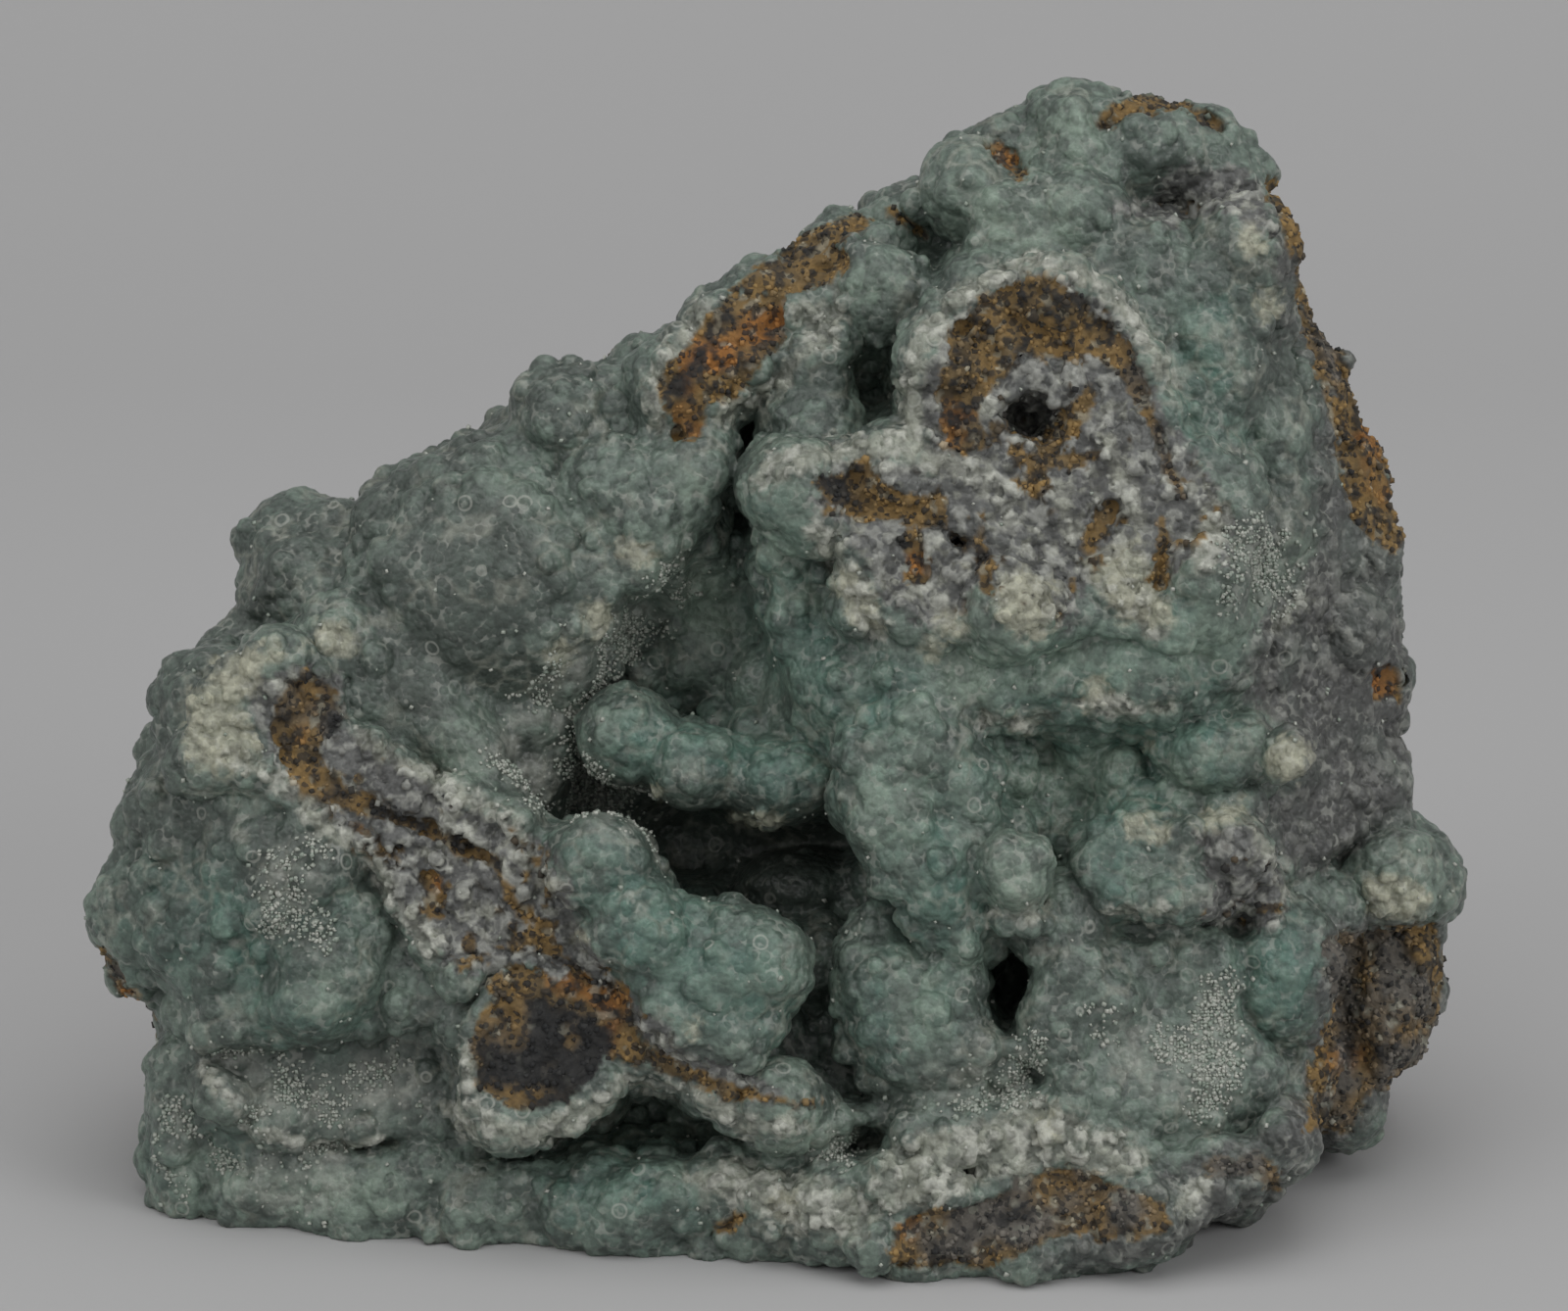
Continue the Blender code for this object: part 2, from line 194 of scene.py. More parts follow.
# Rock plates with a flat or slightly leaning front: front, back, rounding of the edge, how the
# front leans across and up, and the outline as (across, up)
PLATES = {
    "vug_slope": (9, -6, 3, -0.38, 0.05, [
        (-45, 63.5), (-40, 66), (-33, 65), (-24, 64), (-16, 65), (-14.5, 66), (-16, 63),
        (-18.8, 59.5), (-19.7, 55.5), (-21.5, 51), (-24, 47.5), (-28, 45), (-31, 47), (-36, 51),
        (-40, 53.5), (-44, 58),
    ]),
    "left_layer": (3, -12, 2, 0, 0, [
        (-70, 35.5), (-67.5, 40), (-66, 45), (-63.5, 54), (-61.5, 60), (-58.5, 65), (-54.5, 70),
        (-53.2, 73), (-48, 77.7), (-42.5, 77.7), (-37, 81.8), (-32, 78), (-32, 60), (-50, 40),
        (-60, 30), (-65, 30), (-68.8, 32.5),
    ]),
    "ridge_face": (16.5, 4, 1, 0, -0.04, [
        (-60.8, 52.5), (-60.4, 57), (-59.5, 60), (-57.5, 62.3), (-54, 64), (-50, 64.5),
        (-46.5, 62.8), (-45, 60), (-44.6, 56.5), (-42, 54.5), (-39, 52.5), (-36, 50.5), (-33, 49.7),
        (-29.5, 48.5), (-27, 46.5), (-23.8, 45), (-22.3, 42), (-20.8, 39), (-19, 36), (-17.5, 32.5),
        (-16, 30), (-13.8, 27), (-11, 24), (-14, 23), (-16, 25.5), (-20, 28), (-24, 29.5),
        (-28, 31), (-31, 29.5), (-33.5, 29), (-36, 31.5), (-38.5, 34), (-40, 37), (-40.5, 41),
        (-43, 43), (-46.5, 45), (-50.5, 47.2), (-54.5, 50), (-57.2, 50.7), (-59.7, 51),
    ]),
    "knot_face": (18.5, 5, 1, 0, -0.03, [
        (-33.2, 16.8), (-32.7, 22), (-32.2, 27), (-30.2, 30.5), (-26, 32), (-20, 30), (-15, 28),
        (-10, 24), (-4, 20.7), (3, 19.2), (5, 17.2), (3.5, 14.8), (-0.8, 13.4), (-4.2, 14),
        (-7.8, 16.8), (-10.8, 19.3), (-14, 20.2), (-16.8, 18.8), (-19, 16.8), (-21.5, 14.4),
        (-25.3, 12.8), (-29, 13.3), (-32, 14.8),
    ]),
    "flap": (20, 6, 3.4, 0.02, -0.05, [
        (-24, 44.7), (-21, 45), (-18, 45.6), (-15.5, 44.9), (-13.3, 42), (-11.9, 38.5), (-10, 37.4),
        (-5.5, 36.9), (-1.6, 36.1), (0.1, 34), (1.4, 31.5), (1.2, 29), (0, 26.5), (-1.1, 24),
        (-2.8, 22), (-6.5, 20.3), (-10, 21.2), (-13.5, 24.2), (-16, 28.5), (-18.2, 32.5),
        (-20, 36.5), (-22.2, 41),
    ]),
    "ledge": (12, -10, 2.6, 0.03, -0.12, [
        (-19.3, 55.2), (-18.6, 56.8), (-16, 57.8), (-12.5, 57.2), (-9.5, 56), (-6, 54.8),
        (-2.8, 53.8), (0, 53.5), (3.5, 54), (7, 53.5), (6.6, 50.5), (4.8, 48.8), (2, 47.6),
        (-0.8, 46.6), (-4, 46.6), (-6.3, 47.4), (-8.5, 48.6), (-11, 49.1), (-13.8, 50.3),
        (-15.8, 51.5), (-17.8, 53.2),
    ]),
    "arm_column": (13, -4, 4, 0.25, -0.05, [
        (-3.4, 80), (-3.2, 76), (-3.6, 72.5), (-3, 69.5), (-2.3, 65.5), (0, 63.2), (2.2, 59.8),
        (4.5, 57.8), (6.8, 55.5), (6.2, 51), (10, 50), (16, 54), (16, 66), (10, 74), (6, 80),
        (0, 83),
    ]),
    "tongue": (19.5, 8, 3.2, 0.04, -0.05, [
        (10.5, 61), (8, 56.5), (7.3, 53.5), (5.8, 51.2), (6, 48.5), (8, 45.8), (9.7, 43),
        (10.5, 41.3), (12.5, 39.5), (14, 38), (14.6, 35.8), (15.6, 34), (17.4, 32.2), (19.2, 32.6),
        (20, 34.7), (20.6, 37), (20.8, 40), (21, 44), (20.8, 47), (20.3, 50), (20, 53), (19, 56.2),
        (20, 61), (16, 64),
    ]),
    "arch_face": (21, 8, 0.9, 0, -0.07, [
        (13.2, 83), (13, 85), (12.2, 88), (12.4, 92), (11.5, 93.5), (13, 95), (14.5, 96.5),
        (16, 98.2), (18.2, 99.8), (21, 101.4), (24.5, 102.7), (27.5, 103.2), (30.5, 102.6),
        (33, 101.4), (35, 99.2), (36.8, 96.2), (38.6, 92.8), (39.6, 89), (40.6, 86), (43.2, 84.2),
        (46.2, 82.4), (47.8, 78), (48.4, 74), (46.2, 70), (44, 65), (39, 64), (33, 65), (26, 64.5),
        (20, 64.5), (15, 64.5), (10.5, 65), (8, 68.5), (6.8, 72), (5, 75.2), (2.5, 76),
        (-0.5, 77.2), (-2.8, 79), (-3.6, 81), (-2.5, 82.8), (0, 84), (5, 84), (10, 85.4),
    ]),
    "overhang": (18.5, 6, 3, 0, 0, [
        (7, 70), (10, 66), (15, 65), (20, 65), (30, 66), (40, 65), (46.2, 69), (49.2, 70),
        (49.2, 66), (46.8, 61), (43.2, 58.8), (39.2, 57.6), (36.5, 57), (33, 57.2), (30.2, 57.6),
        (28.6, 58), (26.2, 56.5), (24, 55.7), (21.2, 56.1), (20.2, 58), (18.5, 59.5), (14, 60),
        (9.5, 60), (7, 65),
    ]),
    "upper_crust": (13.5, 0, 3.2, 0, -0.1, [
        (16.5, 109.5), (20, 111.8), (25, 111.4), (30.5, 111), (31.5, 107.5), (33.5, 105.5),
        (37, 105.7), (40.5, 105), (43.2, 106.8), (46.2, 108.5), (49.2, 108), (50.8, 105.5),
        (49.2, 102.8), (47, 100.2), (46.6, 97), (47.4, 93), (47.2, 90), (46.2, 87), (47.4, 84),
        (48.7, 80), (49.4, 75.5), (46.2, 71), (42, 74), (38, 88), (34, 98), (28, 102), (23, 102.5),
        (18.5, 103.8),
    ]),
    "lower_lobe": (19.5, 8, 1.6, 0.03, -0.1, [
        (30, 37.8), (30.4, 42), (32, 45), (35, 46.7), (39, 46.4), (41.5, 45), (42.8, 42),
        (43.2, 39.5), (41.5, 37), (39, 36.5), (35, 37.2),
    ]),
    "broken_lobe": (16, 2, 1, -0.45, 0.1, [
        (40.5, 45.4), (44, 46.2), (47.5, 46.8), (49, 44), (50.5, 41), (51.4, 38.5), (50, 35.8),
        (46.8, 32.8), (43.5, 32.8), (40.5, 34.2), (42.2, 36.5), (43.6, 39.5), (42.8, 42.5),
    ]),
    "drusy_slope": (17.5, 4, 2.4, -0.22, -0.12, [
        (26.5, 34.5), (31, 36), (40, 34.2), (45.6, 32.5), (46.4, 26), (49, 24), (51.2, 21),
        (50.2, 16), (42.5, 13.5), (33, 13.5), (28.5, 18), (26.2, 21), (27.2, 24.5), (26.2, 29),
    ]),
    "grey_lobe": (17, 4, 4.6, 0.18, -0.05, [
        (6.3, 27.5), (6, 32.5), (8, 35.5), (11.5, 36.2), (15.8, 33.8), (18.5, 31), (20.5, 27),
        (21.4, 24), (20.8, 21), (18.5, 18.2), (15.5, 16.7), (13, 17.8), (10.8, 20.2), (8.6, 24),
    ]),
    "foot_crust": (19.5, 6, 1.4, 0, -0.1, [
        (8, 1), (8.2, 6), (8.5, 9.5), (10, 12.8), (14, 15.8), (17, 15.8), (23, 16.8), (27, 19),
        (31, 15.2), (35, 15), (38.5, 12.2), (43, 13), (49, 14), (53, 15), (52, 11.5), (49, 8.5),
        (44, 7.5), (38, 1),
    ]),
    "panel": (8.5, -4, 0.8, 0.03, -0.08, [
        (-60, 23.8), (-56, 25), (-51, 24), (-45, 24.5), (-40, 26), (-34, 26), (-32, 22),
        (-30.8, 16), (-29.5, 13.4), (-35, 13.4), (-41.5, 13.1), (-46, 12.9), (-52.8, 13.5),
        (-54.8, 15), (-56.4, 18), (-59.4, 20.8),
    ]),
    "right_wall": (4, -16, 1, -0.75, 0, [
        (46.2, 74), (50, 76), (54, 82), (60, 86), (63.2, 80), (63.6, 74), (63.4, 71), (60.4, 67.5),
        (60.5, 64), (63.6, 63.2), (63.7, 57), (61.5, 55.8), (62.8, 50), (64, 45.8), (60, 45),
        (53, 41), (49, 42), (46.2, 46), (46.2, 60),
    ]),
    "right_mass": (-2, -18, 2.2, -0.35, 0, [
        (51.8, 40), (56, 43.8), (61, 45.4), (64, 46), (67.4, 40.5), (67, 35), (66, 26),
        (64.6, 21.2), (60, 19.2), (57.4, 15), (53, 14), (50, 20), (53, 30),
    ]),
}

# Rounded masses: across, up and fore of the middle, then half width, half height and half depth
LOBES = {
    "upper_shell": [
        (-30, 71, 4, 14.5, 13, 12.5), (-22, 87.5, 4, 5.4, 5, 7), (-16, 80, 7, 6.3, 5.6, 7.5),
        (-9, 81, 8, 6, 5.8, 7.5), (-37, 75.5, 0, 6.4, 6, 9), (-28, 81.8, 1, 7, 4.4, 8),
        (-14.5, 75.5, 9, 4.8, 5, 6), (-17.8, 70, 8, 6, 5, 6.5), (-45, 64.8, 8, 3.9, 3.5, 5),
        (-41.4, 65, 7, 3, 3.3, 4.5), (-50, 74.2, -4, 5.6, 5, 7.5), (-47.5, 69.8, 0, 7, 6, 8),
        (-34, 74, 1, 8, 8, 9), (-24, 66, 5, 8, 6, 7), (-36, 66, 4, 7, 6, 7),
    ],
    "left_mass": [
        (-63.7, 38, 0, 6, 6.6, 9), (-58.5, 37, 5, 6.4, 7.6, 7.5), (-50, 40, 9, 7.6, 8, 7.5),
        (-46.5, 33.8, 10, 6.6, 6, 6.5), (-48, 27.8, 12.5, 4.7, 3.9, 6), (-60, 46.8, 2, 6.8, 8, 9),
        (-54, 47.8, 7, 6.6, 5, 7.5), (-47, 42.8, 9, 6.6, 5, 7), (-64.5, 45.8, -4, 3.8, 6, 8),
        (-57.8, 57.8, 6, 6, 6.4, 7.5), (-61, 17, -2, 4, 6.6, 8), (-60.2, 10, -4, 4.6, 6.4, 7),
        (-52, 9.7, -1, 7, 6.4, 7.5), (-40, 8.8, 1, 9, 6, 8), (-38, 20, 1, 12, 7, 8),
        (-34.5, 28.5, 7, 7, 8, 8), (-55, 30, 3, 6, 7, 8), (-66, 32.5, -3, 3, 4, 6),
        (-55.5, 21, 1, 5, 7, 8),
    ],
    "beside_vug": [
        (-35, 55.5, 9, 4.4, 4.4, 5.5), (-31.4, 53, 8, 3.8, 3.8, 5.5),
        (-28.8, 45.8, 13, 4.4, 3.4, 4.5), (-30.7, 49.4, 11, 2.8, 2.8, 3.6),
        (-25.5, 54, 4, 3.4, 3.4, 5), (-37, 60, 8, 4, 4, 6),
    ],
    "flap": [
        (-18, 41.6, 16.5, 6, 4.2, 5.2), (-14.4, 34.5, 18, 5.4, 4.8, 5), (-5, 31.5, 18, 6.4, 5, 5.2),
        (-6.3, 25.2, 17, 5.8, 4.2, 5), (-11, 28, 17.5, 5, 5, 4.6),
    ],
    "below_knot": [
        (-25.2, 14.4, 11, 6, 2.6, 5.5), (-32, 20, 10, 3, 5, 5.5), (-16, 24, 14, 5, 4, 4),
    ],
    "base_front": [
        (-13, 8.4, 9, 5.6, 4, 6.4), (-20, 6.8, 6, 6, 4.4, 7), (-24, 9, 3, 5, 3.4, 6),
        (-6, 9.4, 10, 3.8, 3, 4.8), (0, 7.2, 10, 7, 5.6, 7), (5.8, 6.8, 12, 5.6, 5.4, 7),
        (4.5, 15.2, 13, 5.6, 2.4, 4.8), (-16, 6, 7, 6, 4, 7), (-30, 7.5, 3, 7, 5.6, 8),
        (16, 5, 13, 9, 6, 7), (26, 5, 13, 9, 6, 8), (35, 6, 9, 7, 6, 8), (44, 11, 4, 7, 5.5, 8),
    ],
    "under_arch": [
        (17, 93, 8, 6, 7, 8), (20, 99, 8, 6, 5, 7), (27, 101, 8, 7, 5, 7), (34, 96, 8, 6, 7, 8),
        (39, 88, 8, 6, 7, 8), (15, 86, 9, 6, 6, 8), (26, 88, 6, 10, 9, 7), (6, 82, 8, 7, 5, 6),
        (12, 78, 9, 8, 6, 7), (2, 76, 7, 6, 6, 6), (30, 76, 8, 9, 8, 8), (20, 74, 9, 8, 8, 8),
        (40, 74, 7, 7, 8, 8),
    ],
    "arch_below": [
        (20, 61, 14, 6, 4.6, 6), (34, 62, 14, 8, 5.4, 6), (42, 64, 12, 6.4, 6, 6.6),
        (45, 71, 8, 5, 6, 7), (13, 63.2, 15, 5, 4.2, 5.4), (38, 61, 15, 5, 4, 5),
        (27, 60, 15, 5, 4, 5),
    ],
    "tongue": [
        (10.5, 51.8, 17, 4.8, 4.8, 5.4), (13.5, 57.8, 16, 4.8, 4.2, 5.4), (6.8, 61, 11, 5, 5, 6),
        (11.2, 44.8, 18, 4.2, 4.6, 4.6), (15, 41.5, 18.5, 4.6, 4, 4.6), (18.5, 46.8, 15, 3.8, 5, 5),
        (15.8, 36.4, 17.5, 2.4, 2.6, 3.4), (18.4, 33.4, 18, 1.7, 1.7, 2.4),
        (16.2, 38.8, 17.5, 3, 3, 4), (14.5, 53.8, 18, 4, 4, 4.6), (20, 43, 14, 3, 4, 4),
        (9, 48, 17, 3, 3.6, 4),
    ],
    "arm_column": [
        (0, 73.8, 11, 4.8, 4.6, 6), (-1, 68.8, 10, 3.9, 5, 5.6), (3.2, 65.5, 9, 4.8, 6, 6),
        (5, 57.5, 7, 4.8, 4.6, 6), (0, 80, 12, 4, 4, 5), (-3, 71, 8, 2.6, 4, 4),
    ],
    "lower_right": [
        (36.6, 41, 14, 6, 4.2, 5), (51, 31, 7, 5.3, 6.3, 7.6), (49, 35, 8, 4, 4, 6),
        (33, 28, 16.5, 3.8, 3.2, 4), (53.2, 21.8, 3, 4, 4.4, 6), (13, 26, 12, 7, 8, 7.4),
        (8, 31, 9, 4.6, 5, 6.6), (18.5, 23.8, 14, 4.2, 4.8, 5.4), (9.2, 35.2, 10, 3.1, 2.9, 4.6),
        (24.5, 23.8, 15, 3, 2, 4), (41, 20, 12, 8, 6, 7), (29, 32, 15, 3.6, 3.6, 4.4),
        (35, 17, 13, 7, 4, 6),
    ],
    "foot_right": [
        (27.2, 15.8, 17, 3.8, 2.8, 4.4), (16, 13, 16, 4.6, 3, 5), (21, 14, 16, 4, 3, 5),
        (33, 12, 15, 4, 3, 5), (48, 16, 6, 6, 6, 7),
    ],
    "top_crust": [
        (36.8, 117.2, -1, 4.6, 3.2, 5.6), (31, 117.2, 0, 3.4, 2.6, 5), (9.3, 101, 8, 4.5, 4.3, 5),
        (5, 93.4, 9, 2.9, 2.9, 3.4), (3.3, 87, 9, 3.6, 3.4, 4), (-1, 89.8, 4, 3, 3, 4),
        (16.2, 102.8, 2, 3, 3, 4.6), (3.2, 97, 4, 4, 4, 5.6), (10, 95.5, 1, 3, 3, 4),
        (-10, 90, 7, 6.4, 6, 7), (-5, 94, 6, 6, 6, 7), (0, 99, 4, 6, 5, 7), (6, 104, 1, 5, 4, 7),
        (13, 107.5, -3, 5, 4, 7), (18.5, 110.4, 4, 4, 4.8, 6.6), (24, 108.5, 6.5, 6.6, 3.3, 6.5),
        (31, 108, 8, 4, 3.8, 5.6), (44, 97, 6, 5.6, 8, 8), (49.2, 98.8, 7, 2.6, 3, 3.6),
        (48.2, 103.8, 5, 4, 4, 6), (40, 99.8, 8.5, 3.8, 3.8, 6), (43.6, 90.8, 8, 4.6, 6, 6.6),
        (36, 103.8, 8, 5, 4, 6.6), (29, 116.5, 3, 3.7, 3.7, 5.6), (36, 114.3, 2, 5.6, 5, 7.4),
        (42.2, 114.5, -1, 5, 4.6, 7.4), (26, 112.8, 1, 3, 3, 3.8), (22, 115, -2, 4, 3.4, 6),
        (30, 112.5, 3, 4, 3.4, 5), (45, 110, 0, 5, 5, 7), (48.5, 88, 3, 4, 8, 7),
        (50, 80, 3, 4, 6, 7),
    ],
    "right_wall": [
        (52, 71, 3, 4.2, 4.2, 5.6), (53.2, 61, 1, 2.5, 2.5, 3.4), (49.2, 64, 8, 2, 3.4, 3.6),
        (60, 66, -10, 3, 2.4, 5), (61.5, 60, -8, 2.4, 3.2, 5), (60, 80, -10, 3.6, 8, 8),
        (58, 52, -6, 5, 5, 7), (50, 84, 0, 4, 8, 7), (54, 88, -4, 4, 8, 8),
    ],
    "right_mass": [
        (61, 40.5, -5, 6, 5.4, 9), (65, 40, -9, 3, 5, 8), (64, 32, -9, 3, 6, 9),
        (60.5, 28, -7, 5, 8, 9), (57, 19, -10, 4, 6, 8), (55, 37, -2, 4, 4, 7),
    ],
}

# Hollows cut into the rock, in the same form
HOLLOWS = {
    "vug": [
        (-20, 48.5, 7, 6.4, 7.2, 15), (-10, 43.8, 5, 10, 6.6, 16), (0, 41.8, 5, 9.6, 5.8, 14),
        (6.2, 42.8, 5, 7, 5.4, 12), (-23, 54, 9, 4.4, 5, 8), (-14, 58, 5, 6.6, 8, 12),
        (-14, 65, 9, 4.6, 6, 8), (-6.5, 64, 9, 5.6, 10, 9.5), (-4, 70, 10, 3.4, 7, 8),
        (-3, 84.5, 12, 1.8, 5, 14), (-4.8, 77.8, 12, 2.4, 3, 12), (3.8, 30, 10, 3.4, 6.4, 9),
        (5, 36, 8, 4, 4, 10), (-10, 39.5, 4, 5, 4, 16),
    ],
    "recess_under_overhang": [
        (25.5, 51, 20, 5.2, 5, 13), (35, 51.4, 21, 7.4, 4.8, 12), (30.5, 46, 20, 5.4, 5, 12),
        (28.2, 41.5, 20, 3.6, 5, 10), (41.5, 50.8, 22, 5, 3.2, 9),
    ],
    "small_holes": [
        (23.4, 29, 12, 3.1, 4.7, 18), (25.2, 87.5, 20, 3, 2.4, 9), (9.3, 90.8, 13, 3.6, 4.6, 11),
        (15.5, 106, 9, 3.4, 3.4, 8), (46.8, 35.5, 14, 2, 1.4, 4), (37.5, 34.9, 21.5, 6.6, 1.1, 6.5),
        (44.5, 35.2, 17, 3, 1.6, 5), (54.5, 29, 4, 0.8, 3, 4), (61.6, 78.8, -6, 0.9, 1.6, 4),
        (18, 74.8, 20, 1.2, 0.6, 4), (13, 12.8, 20, 1, 0.7, 3), (18.5, 10, 19, 1.4, 1.2, 3),
    ],
    "bottom_cave": [
        (-14.5, 15.5, 14, 5.4, 3.2, 15), (-20, 13.5, 13, 5, 1.6, 13), (-8, 14, 14, 3.4, 2.2, 13),
        (-42, 12.7, 12, 14, 0.8, 6), (-27, 12.2, 10, 5, 0.9, 8), (8, 13.5, 15, 3, 1.6, 6),
    ],
}

# Masses that stand in the hollows and on the plates, in the same form
INSIDE = {
    "tongue_ball": [(23.6, 41, 19.5, 3.7, 4.1, 4.4), (24, 36, 18, 3.4, 1.3, 3.4)],
    "arch_lumps": [
        (24.5, 68.5, 20, 4, 3.7, 4.2), (34, 70.2, 19, 3.6, 3.8, 4), (36.5, 73.5, 20, 2.4, 2.4, 2.6),
        (29, 78, 20, 2.6, 2, 2.2), (7, 68, 18, 2.2, 3, 3),
    ],
    "ledge": [
        (-15.2, 54.3, 6, 4.4, 2.5, 5), (-8.5, 51.8, 9, 5.6, 3.8, 5.6),
        (-0.5, 50.2, 9.5, 5.4, 3.8, 5.6), (5.2, 52.5, 7, 3.8, 3.8, 5),
        (-17.8, 55.8, 4, 2.4, 2.4, 5),
    ],
    "wall_swells": [
        (-8, 64, -5, 7, 7, 7), (-1, 61, -3, 5, 6, 7), (-14, 61, -5, 5, 5, 6),
        (-10, 36, -10, 8, 5, 7), (2, 39.5, -6, 7, 4, 7), (10, 40, -4, 5, 4, 6),
        (4, 31.5, 0, 4, 5, 6), (35, 50, 1, 5, 5, 5),
    ],
    "recess": [
        (26, 49.4, 6, 4, 4, 4.6), (21.8, 51.4, 9, 3.3, 3.3, 4), (29, 45.8, 5, 5, 6, 5),
        (34.2, 51.2, 8, 4, 3.9, 4.6), (31.2, 43.2, 9, 3.8, 3.6, 4.6),
        (43.2, 53.2, 12, 5.2, 4.2, 5.2), (47.2, 52.9, 13, 3.6, 3, 3.9),
        (51.4, 52.8, 17.5, 2.5, 2.4, 2.8), (40, 48.5, 10, 3.4, 2.6, 4.2),
        (45.2, 47.2, 12, 3.2, 3, 4.2), (24.5, 45, 8, 3.4, 3.6, 4.4),
    ],
}

# Flat broken faces at the back and sides: a point on each as (across, up, fore), and which way
# it faces
BREAKS = {
    "back_left": ((-30, 50, -37), (-0.36, 0.93, 0.1)),
    "back_right": ((34, 55, -42), (0.3, 0.95, 0.1)),
    "back_middle": ((2, 52, -44), (-0.06, 0.99, 0.14)),
    "back_upper": ((20, 92, -34), (0.05, 0.88, 0.47)),
    "back_upper_left": ((-32, 70, -32), (-0.36, 0.72, 0.6)),
    "back_lower": ((0, 14, -40), (0.03, 0.95, -0.3)),
    "right_back": ((58, 50, -26), (0.84, 0.52, 0.12)),
    "left_back": ((-58, 30, -22), (-0.86, 0.5, 0.08)),
}

